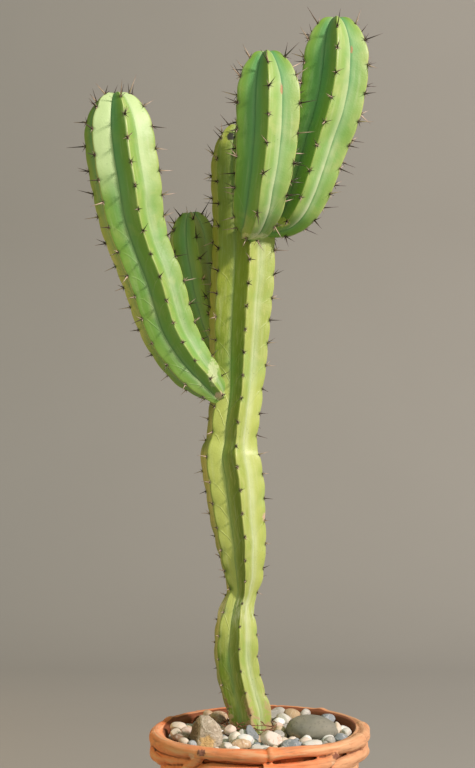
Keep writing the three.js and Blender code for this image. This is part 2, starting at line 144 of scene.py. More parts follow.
class Graph:
    """The nodes of one material round its Principled shader, and its colour so far."""

    def __init__(self, name: str, colour: Colour, roughness: float = 0.5,
                 specular: float = 0.5) -> None:
        """Starts a material.

        Args:
            name: The material's name.
            colour: The colour that all others are laid over.
            roughness: The shader's own roughness.
            specular: The shader's own specular level.
        """
        self.material = bpy.data.materials.new(name)
        self.material.use_nodes = True
        self.tree = self.material.node_tree
        self.shader = self.tree.nodes["Principled BSDF"]
        self.shader.inputs["Roughness"].default_value = roughness
        self.shader.inputs["Specular IOR Level"].default_value = specular
        self.colour: Colour | NodeSocket = colour
        self.place = self.node("ShaderNodeTexCoord").outputs["Object"]

    def feed(self, socket: NodeSocket, value: object) -> None:
        """Links a value or an output to a socket, or sets the socket's own number or colour.

        Args:
            socket: The input socket.
            value: A Value, an output socket, a number, or three numbers.
        """
        source = value.socket if isinstance(value, Value) else value
        if isinstance(source, NodeSocket):
            self.tree.links.new(source, socket)
        elif isinstance(source, tuple) and socket.type == "RGBA":
            socket.default_value = (*source, 1.0)
        else:
            socket.default_value = source

    def node(self, kind: str, settings: dict | None = None, inputs: dict | None = None) -> Node:
        """Adds a node.

        Args:
            kind: Its type.
            settings: Its own settings, such as the operation, which are set first.
            inputs: The values or links of its sockets, by name or place.

        Returns:
            The new node.
        """
        made = self.tree.nodes.new(kind)
        for name, value in (settings or {}).items():
            setattr(made, name, value)
        for name, value in (inputs or {}).items():
            self.feed(made.inputs[name], value)
        return made

    def math(self, operation: str, *terms: "Value | float") -> Value:
        """A Math node's result."""
        node = self.node("ShaderNodeMath", {"operation": operation}, dict(enumerate(terms)))
        return Value(self, node.outputs[0])

    def parts(self, vector: NodeSocket) -> tuple[Value, Value, Value]:
        """The three numbers of a vector."""
        node = self.node("ShaderNodeSeparateXYZ", inputs={0: vector})
        return tuple(Value(self, output) for output in node.outputs)

    def join(self, *numbers: "Value | float") -> NodeSocket:
        """A vector of three numbers."""
        return self.node("ShaderNodeCombineXYZ", inputs=dict(enumerate(numbers))).outputs[0]

    def attribute(self, name: str) -> Value:
        """A number kept on the piece's points."""
        node = self.node("ShaderNodeAttribute", {"attribute_name": name})
        return Value(self, node.outputs["Fac"])

    def noise(self, scale: float, detail: float = 2.0, warp: float = 0.0,
              at: NodeSocket | None = None) -> Value:
        """Soft noise about 0.5.

        Args:
            scale: Waves per metre, or per unit of the vector.
            detail: Octaves of finer noise.
            warp: Distortion.
            at: The vector that it is read by, where that isn't the point on the piece.

        Returns:
            The noise.
        """
        vector = self.place if at is None else at
        inputs = {"Vector": vector, "Scale": scale, "Detail": detail, "Distortion": warp}
        return Value(self, self.node("ShaderNodeTexNoise", inputs=inputs).outputs[0])

    def cells(self, scale: float) -> Value:
        """Distance from the nearest of scattered points, as a share of their spacing."""
        node = self.node("ShaderNodeTexVoronoi", inputs={"Vector": self.place, "Scale": scale})
        return Value(self, node.outputs["Distance"])

    def mix(self, mask: "Value | float", under: object, over: object) -> NodeSocket:
        """One colour laid over another by a mask."""
        inputs = {0: mask, 6: under, 7: over}
        return self.node("ShaderNodeMix", {"data_type": "RGBA"}, inputs).outputs[2]

    def lay(self, mask: "Value | float", over: Colour | NodeSocket) -> None:
        """Lays a colour over the colour so far by a mask."""
        self.colour = self.mix(mask, self.colour, over)

    def finish(self, rough: Value | None = None, height: Value | None = None,
               depth: float = 0.5, marks: "Sequence[Mark]" = ()) -> Material:
        """Feeds the shader.

        Args:
            rough: The roughness, where it changes over the surface.
            height: The relief, about 0 to 1.
            depth: How deep the relief is, in millimetres.
            marks: Patches that lie over all else.

        Returns:
            The material.
        """
        for mark in marks:
            mark.lay(self)
        self.feed(self.shader.inputs["Base Color"], self.colour)
        if rough is not None:
            self.feed(self.shader.inputs["Roughness"], rough)
        if height is not None:
            inputs = {"Height": height, "Distance": depth * MM, "Strength": 1.0}
            bump = self.node("ShaderNodeBump", inputs=inputs)
            self.feed(self.shader.inputs["Normal"], bump.outputs[0])
        return self.material


@dataclass(frozen=True)
class Mark:
    """A ragged patch of its own colour, as its place and reach in millimetres."""

    at: Triple
    reach: Triple
    colour: Colour = (0.42, 0.20, 0.10)
    strength: float = 0.85

    def lay(self, g: Graph) -> None:
        """Lays the patch over a material's colour.

        Args:
            g: The material's graph.
        """
        total = g.noise(260, 4, 0.8) * 2.0 - 0.4
        for number, at, reach in zip(g.parts(g.place), self.at, self.reach):
            total = total + ((number - at * MM) * (1 / (reach * MM))) ** 2
        g.lay(total.step(1.5, 0.9) * self.strength, self.colour)


@dataclass(frozen=True)
class FleshFinish:
    """Waxy skin of a stem: arcs below the areoles, cork where it is old, and painted light and
    shade.

    The painted sunlit band and the waist are heights in metres, the cork's are in millimetres, and
    a band that lies above the plant leaves the stem without one.
    """

    name: str
    young: Colour = (0.30, 0.45, 0.12)
    mature: Colour = (0.16, 0.32, 0.06)
    pale: Colour = (0.62, 0.68, 0.46)
    straw: Colour = (0.50, 0.51, 0.17)
    bark: Colour = (0.34, 0.20, 0.10)
    # Painted light: the sunlit colour of the flanks facing front-left, in a band of heights.
    bleached: Colour = (0.59, 0.66, 0.33)
    lit_band_from: float = 9.0
    lit_band_to: float = 10.0
    mottle: float = 0.0
    # Painted light on the side facing the key lamp, and painted shade on the other side.
    sunned: float = 0.08
    shade: Colour = (0.10, 0.28, 0.008)
    shaded: float = 0.5
    # Strengths of the painted light in the sunny grooves and of the painted shade in the others.
    groove_light: float = 1.0
    crease: float = 0.45
    waist: float = -9.0
    cork_top: float = 0.0
    cork_low: float = 0.0
    marks: tuple[Mark, ...] = ()
    olive: Colour = (0.34, 0.43, 0.09)
    # Bluer green of the flanks, laid more strongly as painted shade away from the lamp.
    deep: Colour = (0.12, 0.35, 0.16)
    # Painted shade of the young flanks away from the lamp.
    cool_shade: Colour = (0.07, 0.34, 0.17)
    blotch: Colour = (0.15, 0.40, 0.10)
    sunlit: Colour = (0.60, 0.58, 0.38)
    # Painted olive shade high up on the side away from the lamp.
    olive_painted_shade: Colour = (0.34, 0.38, 0.035)
    # Painted shade in the grooves away from the lamp.
    groove_painted_shade: Colour = (0.045, 0.14, 0.055)
    cushion: Colour = (0.10, 0.13, 0.05)
    speck: Colour = (0.07, 0.13, 0.045)
    flaked: Colour = (0.55, 0.40, 0.24)

    def material(self, pitch: float) -> Material:
        """Builds the skin, which reads the piece's Skin map, for areoles at a pitch."""
        return FleshPainter(self, pitch).material()


class FleshPainter:
    """Lays the layers of one stem's skin over each other."""

    def __init__(self, looks: FleshFinish, pitch: float) -> None:
        """Starts the material and reads the place on the rib, the height, the age and the sun.

        Args:
            looks: The stem's colours and strengths.
            pitch: Spacing of its areoles, in millimetres.
        """
        self.looks = looks
        self.pitch = pitch
        self.g = g = Graph(looks.name, looks.young, specular=0.52)
        self.u, self.v, _ = g.parts(g.node("ShaderNodeUVMap", {"uv_map": "Skin"}).outputs[0])
        self.across = abs(self.u.fraction() - 0.5) * 2
        self.height = g.parts(g.place)[2]
        self.age = ((self.v - MAP_START) * pitch).step(20, 330)
        self.sun = g.attribute("sun")
        self.broad = g.noise(11, 2)
        self.cloud = g.noise(38, 4, 0.7)
        self.rough = 0.40 + 0.16 * self.cloud

    def material(self) -> Material:
        """Lays every layer.

        Returns:
            The material.
        """
        self.grow()
        self.light()
        if self.looks.mottle:
            self.mottle()
        self.bleach()
        arc = self.arcs()
        self.spot()
        if self.looks.cork_top > self.looks.cork_low:
            self.cork()
        relief = self.g.noise(420, 3) * 0.3 + arc * 0.4 + self.cloud * 0.4
        return self.g.finish(self.rough, relief, 0.7, self.looks.marks)

    def grow(self) -> None:
        """Lays the greens by age, yellower on the crests and cooler down the flanks as painted
        shade.
        """
        g, looks, across, cloud = self.g, self.looks, self.across, self.cloud
        g.lay((self.age * 0.3 + self.broad * 0.8 + 0.2).step(0.25, 0.95), looks.mature)
        g.lay(across.step(0.65, 0.05) * (0.2 + 0.4 * cloud), looks.olive)
        # Bluer near the grooves, and more so as painted shade on the side away from the key lamp.
        flank = across.step(0.4, 0.95) * (0.1 + 0.4 * self.broad)
        g.lay(flank * (1 - 0.6 * self.sun), looks.deep)
        g.lay(cloud.step(0.5, 0.76) * 0.28, looks.straw)
        # Painted shade: a cool teal on the young flanks away from the key lamp.
        cool_shade = across.step(0.15, 0.6) * (1 - self.sun) * self.age.step(0.95, 0.2)
        g.lay(cool_shade * 0.5, looks.cool_shade)
        g.lay(g.noise(21, 3, 0.4).step(0.52, 0.72) * 0.3, looks.blotch)

    def light(self) -> None:
        """Lays painted light on the skin facing the key lamp, and painted shade on crests facing
        away.
        """
        looks = self.looks
        painted_sunlight = self.sun * (0.35 + 0.9 * self.cloud.step(0.36, 0.66)) * looks.sunned
        self.g.lay(painted_sunlight, looks.sunlit)
        self.g.lay((1 - self.sun) * self.across.step(1.0, 0.25) * looks.shaded, looks.shade)

    def mottle(self) -> None:
        """Lays painted olive shade high up, threads of straw, and a pale ring at the waist."""
        g, looks, height = self.g, self.looks, self.height
        # Painted shade: a lighter olive on the upper side away from the key lamp.
        g.lay(height.step(0.74, 0.87) * (1 - self.sun) * 0.6, looks.olive_painted_shade)
        thread = g.noise(1.0, 4, 0.9, at=g.join(self.u * 22, self.v * 1.4, 3.0))
        g.lay(thread.step(0.48, 0.72) * looks.mottle, looks.straw)
        ring = height.step(looks.waist - 0.03, looks.waist - 0.004)
        ring = ring * height.step(looks.waist + 0.022, looks.waist + 0.002)
        g.lay(ring * thread.step(0.42, 0.6) * 0.75, looks.pale)

    def bleach(self) -> None:
        """Lays the painted sunlit band, pale streaks, and painted light and shade in the grooves.
        """
        g, looks, height, across = self.g, self.looks, self.height, self.across
        band = height.step(looks.lit_band_from, looks.lit_band_from + 0.06)
        band = band * height.step(looks.lit_band_to, looks.lit_band_to - 0.06)
        # Painted light: a pale sunlit colour on the flanks facing front-left, in a band of heights.
        g.lay(band * g.attribute("bleach") * 0.9, looks.bleached)
        streak = g.noise(1.0, 3, at=g.join(self.u * 9, self.v * 0.55, 0.0))
        g.lay(streak.step(0.5, 0.78) * 0.16, looks.pale)
        # Painted light in the grooves facing the key lamp, painted shade in those away from it.
        groove = across.step(0.36, 0.95) ** 1.5 * (0.26 + 0.38 * self.age)
        g.lay(groove * (0.5 + 0.9 * self.cloud) * self.sun * looks.groove_light, looks.pale)
        g.lay(across.step(0.8, 1.0) * (1 - self.sun) * looks.crease, looks.groove_painted_shade)

    def arcs(self) -> Value:
        """Lays the pale arcs below the areoles.

        Returns:
            Where they lie.
        """
        across = self.across
        count = self.v - ARC_DROP * across ** ARC_BEND + 0.35 * self.cloud + 0.3
        away = abs(count.fraction() - 0.5)
        arc = away.step(0.06, 0.0) * across.step(0.12, 0.3) * across.step(1.0, 0.85)
        arc = arc * self.broad.step(0.38, 0.62) * self.age.step(0.35, 1.0)
        self.g.lay(arc * 0.11, self.looks.pale)
        return arc

    def spot(self) -> None:
        """Lays the straw edge of the crests, a dark ring round each areole, and specks."""
        g, looks = self.g, self.looks
        g.lay(self.across.step(0.075, 0.0) * 0.4, looks.straw)
        along = abs((self.v + 0.5).fraction() - 0.5) * self.pitch
        away = (along * along + (self.across * 22) ** 2) ** 0.5
        g.lay(away.step(4.5, 1.8) * 0.4, looks.cushion)
        specks = g.cells(190).step(0.16, 0.08) * g.noise(24, 1).step(0.52, 0.66)
        g.lay(specks * 0.5, looks.speck)

    def cork(self) -> None:
        """Lays rough bark over the stem's old foot."""
        g, looks = self.g, self.looks
        low = self.height.step(looks.cork_top * MM, looks.cork_low * MM)
        patch = g.noise(95, 4, 1.2) + self.across.step(0.6, 0.0) * 0.22 + low * 0.24
        cork = patch.step(0.78, 0.86) * low
        g.lay(cork * 0.9, g.mix(g.noise(300, 3), looks.bark, looks.flaked))
        self.rough = self.rough + cork * 0.35


@dataclass(frozen=True)
class SpineFinish:
    """Hard dark spines, some of them bleached, with dark tips."""

    name: str = "spine_horn"
    horn: tuple[Colour, Colour] = ((0.016, 0.011, 0.01), (0.085, 0.05, 0.04))
    bleached: tuple[Colour, Colour] = ((0.44, 0.29, 0.22), (0.64, 0.50, 0.42))
    tips: Colour = (0.06, 0.03, 0.02)

    def material(self) -> Material:
        """Builds the horn, which reads how far up the spine a point is and how bleached it is.

        Returns:
            The material.
        """
        g = Graph(self.name, self.horn[0], roughness=0.42)
        flake = g.noise(900, 2)
        g.lay(flake, self.horn[1])
        g.lay(g.attribute("tone").step(0.5, 0.62), g.mix(flake, *self.bleached))
        g.lay(g.attribute("tip").step(0.55, 1.0) * 0.6, self.tips)
        return g.finish()


@dataclass(frozen=True)
class FeltFinish:
    """Grey wool of the areoles, dark where it is old."""

    name: str = "areole_felt"
    old: tuple[Colour, Colour] = ((0.03, 0.024, 0.018), (0.17, 0.14, 0.10))
    fresh: tuple[Colour, Colour] = ((0.30, 0.24, 0.15), (0.55, 0.50, 0.38))

    def material(self) -> Material:
        """Builds the felt, which reads how fresh each pad is.

        Returns:
            The material.
        """
        g = Graph(self.name, self.old[0], roughness=0.95, specular=0.1)
        tuft = g.noise(1100, 3)
        g.lay(tuft, self.old[1])
        g.lay(g.attribute("tone").step(0.6, 1.0), g.mix(tuft, *self.fresh))
        return g.finish(height=tuft, depth=0.8)


@dataclass(frozen=True)
class TerracottaFinish:
    """Fired clay streaked like bark on the rim, with painted light on the right and painted shade
    inside.
    """

    name: str = "fired_clay"
    rim_from: float = 212.0
    clay: Colour = (0.78, 0.19, 0.058)
    light_clay: Colour = (0.80, 0.32, 0.14)
    # Painted light: a paler clay on the right side, which faces the key lamp.
    painted_lit_clay: Colour = (0.50, 0.32, 0.18)
    scorched: Colour = (0.36, 0.115, 0.045)
    light_bark: Colour = (0.70, 0.45, 0.26)
    dark_bark: Colour = (0.27, 0.095, 0.045)
    worn: Colour = (0.74, 0.46, 0.26)
    # Painted shade in the crevices between the branches.
    crevice_shade: Colour = (0.12, 0.038, 0.016)
    # Painted shade inside the pot.
    inside_shade: Colour = (0.155, 0.04, 0.014)
    lime: Colour = (0.78, 0.66, 0.52)
    pit: Colour = (0.16, 0.06, 0.03)
    marks: tuple[Mark, ...] = ()

    def material(self) -> Material:
        """Builds the clay.

        Returns:
            The material, which reads the place on the pot and how hollow it is there.
        """
        g = Graph(self.name, self.clay, specular=0.3)
        x, y, z = g.parts(g.place)
        bearing = g.math("ARCTAN2", y, x)
        reach = (x * x + y * y) ** 0.5
        rim = z.step(self.rim_from * MM, (self.rim_from + 10) * MM)
        mottle = g.noise(75, 4, 0.5)
        streak = g.noise(1.0, 4, 0.6, at=g.join(bearing * 2.4, reach * 170, z * 170))
        hollow = g.attribute("hollow")
        g.lay(g.noise(14, 3, 0.4).step(0.3, 0.72), self.light_clay)
        # Painted light: paler clay on the right side, toward the key lamp.
        g.lay(x.step(0.03, 0.12) * 0.7, self.painted_lit_clay)
        g.lay(mottle.step(0.5, 0.8) * 0.45, self.scorched)
        g.lay(streak.step(0.5, 0.68) * rim * 0.6, self.light_bark)
        g.lay(streak.step(0.46, 0.3) * rim * 0.62, self.dark_bark)
        g.lay(hollow.step(-0.1, -0.6) * 0.3, self.worn)
        # Painted shade: darker where the surface is hollow, between the branches.
        g.lay(hollow.step(0.12, 0.9) * 0.85, self.crevice_shade)
        # The inside ends at the wall's inner face, and at the rim's inner edge above it.
        limit = g.math("MINIMUM", 0.0918 + 0.1814 * z, 0.130 + 0.006 * y.step(-0.02, 0.06))
        inside = (reach - limit).step(0.001, -0.001) * z.step(0.004, 0.012)
        # Painted shade: the inside of the wall and rim darkened.
        g.lay(inside * 0.9, self.inside_shade)
        bloom = g.noise(26, 5, 0.8).step(0.55, 0.75) * (z.step(0.15, 0.01) * 0.55 + 0.12)
        g.lay(bloom * (1 - inside), self.lime)
        pits = g.cells(230).step(0.14, 0.07) * mottle.step(0.5, 0.6)
        g.lay(pits * 0.7, self.pit)
        relief = g.noise(700, 3) * 0.25 + mottle * 0.35 - pits * 0.4 + streak * rim * 1.3
        return g.finish(0.72 + 0.2 * mottle, relief, 1.1, self.marks)


@dataclass(frozen=True)
class StoneFinish:
    """One kind of stone: body, clouding, specks and veins."""

    name: str
    body: Colour
    cloud: Colour
    speck: Colour
    vein: Colour = (0.8, 0.78, 0.74)
    speck_share: float = 0.4
    vein_share: float = 0.0
    roughness: float = 0.55
    relief: float = 0.35
    scale: float = 60.0
    marks: tuple[Mark, ...] = ()

    def material(self) -> Material:
        """Builds the stone.

        Returns:
            The material, which reads each stone's own tone.
        """
        g = Graph(self.name, self.body, specular=0.4)
        broad = g.noise(self.scale, 3, 0.6)
        grain = g.noise(self.scale * 9, 3)
        g.lay((broad * 0.7 + g.attribute("tone") * 0.5).step(0.35, 0.85), self.cloud)
        dots = g.cells(self.scale * 8).step(0.3, 0.12) * broad.step(0.35, 0.6)
        g.lay(dots * self.speck_share, self.speck)
        g.lay(grain.step(0.55, 0.75) * self.speck_share * 0.6, self.speck)
        line = abs(g.noise(self.scale * 0.8, 4, 1.5) - 0.5).step(0.035, 0.0)
        g.lay(line * self.vein_share, self.vein)
        relief = grain * 0.6 + broad * 0.5 + line * (0.3 * self.vein_share)
        return g.finish(self.roughness + 0.2 * grain, relief, self.relief, self.marks)


class Stone(Enum):
    """The kinds of stone in the pot."""

    GREEN_GREY = StoneFinish(
        "stone_green_grey", (0.19, 0.19, 0.16), (0.32, 0.29, 0.225), (0.09, 0.09, 0.08),
        speck_share=0.75, roughness=0.62, relief=0.6, scale=26,
        marks=(Mark((44, -34, 262), (14, 14, 9), (0.42, 0.33, 0.20), 0.6),))
    QUARTZ = StoneFinish(
        "stone_quartz", (0.74, 0.66, 0.60), (0.86, 0.84, 0.82), (0.62, 0.42, 0.32),
        (0.62, 0.34, 0.24), speck_share=0.25, vein_share=0.7, roughness=0.35)
    BLUE_GREY = StoneFinish(
        "stone_blue_grey", (0.23, 0.26, 0.29), (0.36, 0.39, 0.41), (0.16, 0.18, 0.20),
        vein_share=0.3)
    WHITE = StoneFinish(
        "stone_white", (0.59, 0.58, 0.54), (0.83, 0.84, 0.83), (0.50, 0.44, 0.36),
        (0.60, 0.42, 0.26), vein_share=0.3)
    CREAM = StoneFinish(
        "stone_cream", (0.64, 0.56, 0.47), (0.79, 0.75, 0.68), (0.50, 0.36, 0.22),
        (0.55, 0.36, 0.2), speck_share=0.3, vein_share=0.35)
    PINK = StoneFinish(
        "stone_pink", (0.58, 0.42, 0.34), (0.74, 0.62, 0.54), (0.40, 0.25, 0.20), vein_share=0.3)
    BROWN = StoneFinish(
        "stone_brown", (0.30, 0.19, 0.13), (0.44, 0.31, 0.23), (0.18, 0.11, 0.08), vein_share=0.3)
    TAN = StoneFinish(
        "stone_tan", (0.46, 0.33, 0.20), (0.62, 0.50, 0.35), (0.22, 0.15, 0.09),
        (0.72, 0.66, 0.56), speck_share=0.6, vein_share=0.35, roughness=0.7, relief=0.6)
    SPECKLED = StoneFinish(
        "stone_speckled", (0.56, 0.40, 0.25), (0.34, 0.22, 0.14), (0.82, 0.76, 0.68),
        (0.26, 0.11, 0.06), speck_share=1.0, vein_share=0.5, roughness=0.75, relief=1.2, scale=21)
    GREY = StoneFinish(
        "stone_grey", (0.33, 0.32, 0.29), (0.50, 0.48, 0.44), (0.2, 0.19, 0.18), vein_share=0.4)
    ROCK = StoneFinish(
        "stone_rock", (0.34, 0.28, 0.21), (0.53, 0.45, 0.35), (0.15, 0.115, 0.075),
        (0.68, 0.61, 0.51), speck_share=0.9, vein_share=0.5, roughness=0.8, relief=1.8, scale=48,
        # Painted shade: the left face, which is away from the key lamp, darkened.
        marks=(Mark((-94, -58, 280), (16, 32, 30), (0.125, 0.088, 0.055), 0.92),
               Mark((-70, -76, 266), (14, 15, 13), (0.62, 0.40, 0.16))))
    SLATE = StoneFinish(
        "stone_slate", (0.20, 0.225, 0.25), (0.32, 0.34, 0.36), (0.14, 0.15, 0.17),
        (0.5, 0.5, 0.5), vein_share=0.3, relief=0.8)


@dataclass(frozen=True)
class EarthFinish:
    """Crumbly earth or grit."""

    name: str
    dark: Colour
    light: Colour
    grains: float
    chaff: Colour = (0.55, 0.48, 0.38)

    def material(self) -> Material:
        """Builds the earth from grains of two sizes.

        Returns:
            The material.
        """
        g = Graph(self.name, self.dark, specular=0.15)
        crumbs = g.cells(self.grains)
        fine = g.noise(self.grains * 2.2, 4)
        g.lay((crumbs * 0.8 + fine * 0.5).step(0.3, 0.8), self.light)
        g.lay(fine.step(0.6, 0.75) * 0.5, self.chaff)
        return g.finish(0.85 + 0.1 * fine, fine - crumbs * 0.7, 2.0)


@dataclass(frozen=True)
class RootFinish:
    """Dry, reddish skin of rootlets."""

    name: str = "dry_root"
    dark: Colour = (0.13, 0.045, 0.03)
    light: Colour = (0.40, 0.20, 0.13)

    def material(self) -> Material:
        """Builds the flaking skin.

        Returns:
            The material.
        """
        g = Graph(self.name, self.dark, roughness=0.85, specular=0.2)
        flake = g.noise(260, 4, 1.0)
        g.lay(flake.step(0.35, 0.7), self.light)
        return g.finish(height=flake, depth=0.5)


@dataclass(frozen=True)
class PaperFinish:
    """Matt paper of the floor and backdrop."""

    name: str
    tint: Colour

    def material(self) -> Material:
        """Builds the paper, with a faint fibre.

        Returns:
            The material.
        """
        g = Graph(self.name, self.tint, roughness=0.9, specular=0.1)
        g.lay(g.noise(3, 2), tuple(part * 0.96 for part in self.tint))
        return g.finish()


# Mesh helpers


def wrapped_grid(columns: int, rows: int, place: Place, paint: Paint | None = None) -> BMesh:
    """Wraps a flat grid into a closed skin, and welds its seam and poles.

    Args:
        columns: Faces round the skin.
        rows: Faces along the skin.
        place: Gives the point of a column and a row.
        paint: Gives the map point of a column and a row in the face column that it lies in.

    Returns:
        The skin.
    """
    form = bmesh.new()
    skin = form.loops.layers.uv.new("Skin")
    bmesh.ops.create_grid(form, x_segments=columns, y_segments=rows, size=1)
    seats = {}
    for vert in form.verts:
        column = round((vert.co.x + 1) / 2 * columns)
        seats[vert] = (column, round((vert.co.y + 1) / 2 * rows))
    for face in form.faces if paint else ():
        left = min(seats[vert][0] for vert in face.verts)
        for loop in face.loops:
            loop[skin].uv = paint(*seats[loop.vert], left)
    for vert, seat in seats.items():
        vert.co = place(*seat)
    bmesh.ops.remove_doubles(form, verts=form.verts, dist=1e-6)
    bmesh.ops.recalc_face_normals(form, faces=form.faces)
    return form


def as_object(form: BMesh, name: str) -> Object:
    """Links an object made of a mesh.

    Args:
        form: The mesh, which is freed.
        name: The name that the object and its data get.

    Returns:
        The object.
    """
    mesh = bpy.data.meshes.new(name)
    form.to_mesh(mesh)
    form.free()
    made = bpy.data.objects.new(name, mesh)
    bpy.context.scene.collection.objects.link(made)
    return made


def discard(made: Object) -> None:
    """Removes an object and its mesh.

    Args:
        made: The object.
    """
    mesh = made.data
    bpy.data.objects.remove(made)
    bpy.data.meshes.remove(mesh)


def joined(forms: Sequence[BMesh]) -> BMesh:
    """Puts several meshes into one and frees them.

    Args:
        forms: The meshes.

    Returns:
        The one mesh.
    """
    whole = bmesh.new()
    carrier = bpy.data.meshes.new("carrier")
    for form in forms:
        form.to_mesh(carrier)
        whole.from_mesh(carrier)
        form.free()
    bpy.data.meshes.remove(carrier)
    return whole


def with_modifier(form: BMesh, kind: str, **settings: object) -> BMesh:
    """Runs one modifier on a mesh.

    Args:
        form: The mesh, which is freed.
        kind: The modifier's type.
        **settings: The modifier's settings.

    Returns:
        The finished mesh.
    """
    holder = as_object(form, "rough")
    modifier = holder.modifiers.new(kind.title(), kind)
    for name, value in settings.items():
        setattr(modifier, name, value)
    shown = holder.evaluated_get(bpy.context.evaluated_depsgraph_get())
    made = bmesh.new()
    made.from_mesh(shown.to_mesh())
    shown.to_mesh_clear()
    discard(holder)
    return made


def rod(form: BMesh, foot: Vector, top: Vector, radii: tuple[float, float], sides: int,
        cap_tris: bool = False) -> list[BMVert]:
    """Adds a tapering rod to a mesh, in millimetres.

    Args:
        form: The mesh.
        foot: The middle of its lower end.
        top: The middle of its upper end.
        radii: Its radius at the foot and at the top.
        sides: How many sides it has.
        cap_tris: Whether its ends are closed with triangles.

    Returns:
        Its points.
    """
    way = top - foot
    turn = way.to_track_quat("Z", "Y").to_matrix().to_4x4()
    return bmesh.ops.create_cone(
        form, cap_ends=True, cap_tris=cap_tris, segments=sides, radius1=radii[0] * MM,
        radius2=radii[1] * MM, depth=way.length * MM,
        matrix=Matrix.Translation((foot + top) / 2 * MM) @ turn)["verts"]


def toned_form() -> BMesh:
    """An empty mesh whose points can keep a tone and how near a tip they are.

    Returns:
        The mesh.
    """
    form = bmesh.new()
    for name in ("tone", "tip"):
        form.verts.layers.float.new(name)
    return form


def set_tone(form: BMesh, verts: Sequence[BMVert], tone: float) -> None:
    """Keeps one tone on some points of a mesh."""
    layer = form.verts.layers.float["tone"]
    for vert in verts:
        vert[layer] = tone


def settle(form: BMesh, name: str, material: Material, slot: str, *nodes: str) -> Object:
    """Makes a finished piece that rides on the plant's one body.

    Args:
        form: The mesh, which is freed.
        name: The piece's name.
        material: Its finish.
        slot: The slot that the finish belongs to; not used.
        *nodes: The CAD nodes that it stands for.

    Returns:
        The piece.
    """
    for face in form.faces:
        face.smooth = True
    piece = as_object(form, name)
    piece.data.materials.append(material)
    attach(piece, BODY)
    if nodes:
        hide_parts(*nodes)
    log.info("%s: %d faces", name, len(piece.data.polygons))
    return piece


def bearing_point(bearing: float, reach: float, height: float) -> Vector:
    """A point by its bearing in degrees from the front towards the right, in millimetres."""
    turn = math.radians(bearing)
    return Vector((reach * math.sin(turn), -reach * math.cos(turn), height))


def uneven(at: Vector, *layers: tuple[float, float]) -> float:
    """Noise at a point, in layers given by their height and the length of their waves."""
    return sum(height * noise.noise(at / length) for height, length in layers)


def eased(keys: Keys, at: float) -> float:
    """Reads a smooth line through keys.

    Args:
        keys: Pairs of place and value, in order of place.
        at: The place.

    Returns:
        The value there.
    """
    if at <= keys[0][0]:
        return keys[0][1]
    for (start, low), (end, high) in zip(keys, keys[1:]):
        if at <= end:
            share = (at - start) / (end - start)
            share = share * share * (3 - 2 * share)
            return low + (high - low) * share
    return keys[-1][1]


# The plant


@dataclass(frozen=True)
class Row:
    """One level of a stem: its centre, directions, reach and lean over the dome."""

    centre: Vector
    tangent: Vector
    front: Vector
    side: Vector
    radius: float
    turn: float
    groove: float

    def outward(self, degrees: float) -> Vector:
        """Direction away from the axis at an angle from the stem's front."""
        turn = math.radians(degrees)
        return self.front * math.cos(turn) + self.side * math.sin(turn)


@dataclass(frozen=True)
class Areole:
    """A spine cushion: its point, the way it faces, the way up the rib, and its order."""

    point: Vector
    facing: Vector
    upward: Vector
    order: float


@dataclass(frozen=True)
class SpineRange:
    """The ranges that one kind of spine is drawn from, in degrees and millimetres.

    It leans from the way the areole faces, and turns round that from the way up the rib. Its
    length follows the size of spines at its height by the power of follows.
    """

    lean: tuple[float, float]
    turn: tuple[float, float]
    length: tuple[float, float]
    radius: float
    follows: float = 0.85
    palest: float = 1.1


class Spine(Enum):
    """The kinds of spine in a cluster."""

    CENTRAL = SpineRange((2, 28), (0, 360), (15, 25), 1.15)
    SECOND = SpineRange((24, 52), (-70, 70), (10, 18), 1.0)
    RADIAL = SpineRange((55, 78), (-14, 14), (5.5, 8.5), 0.75, 1.0, 0.85)


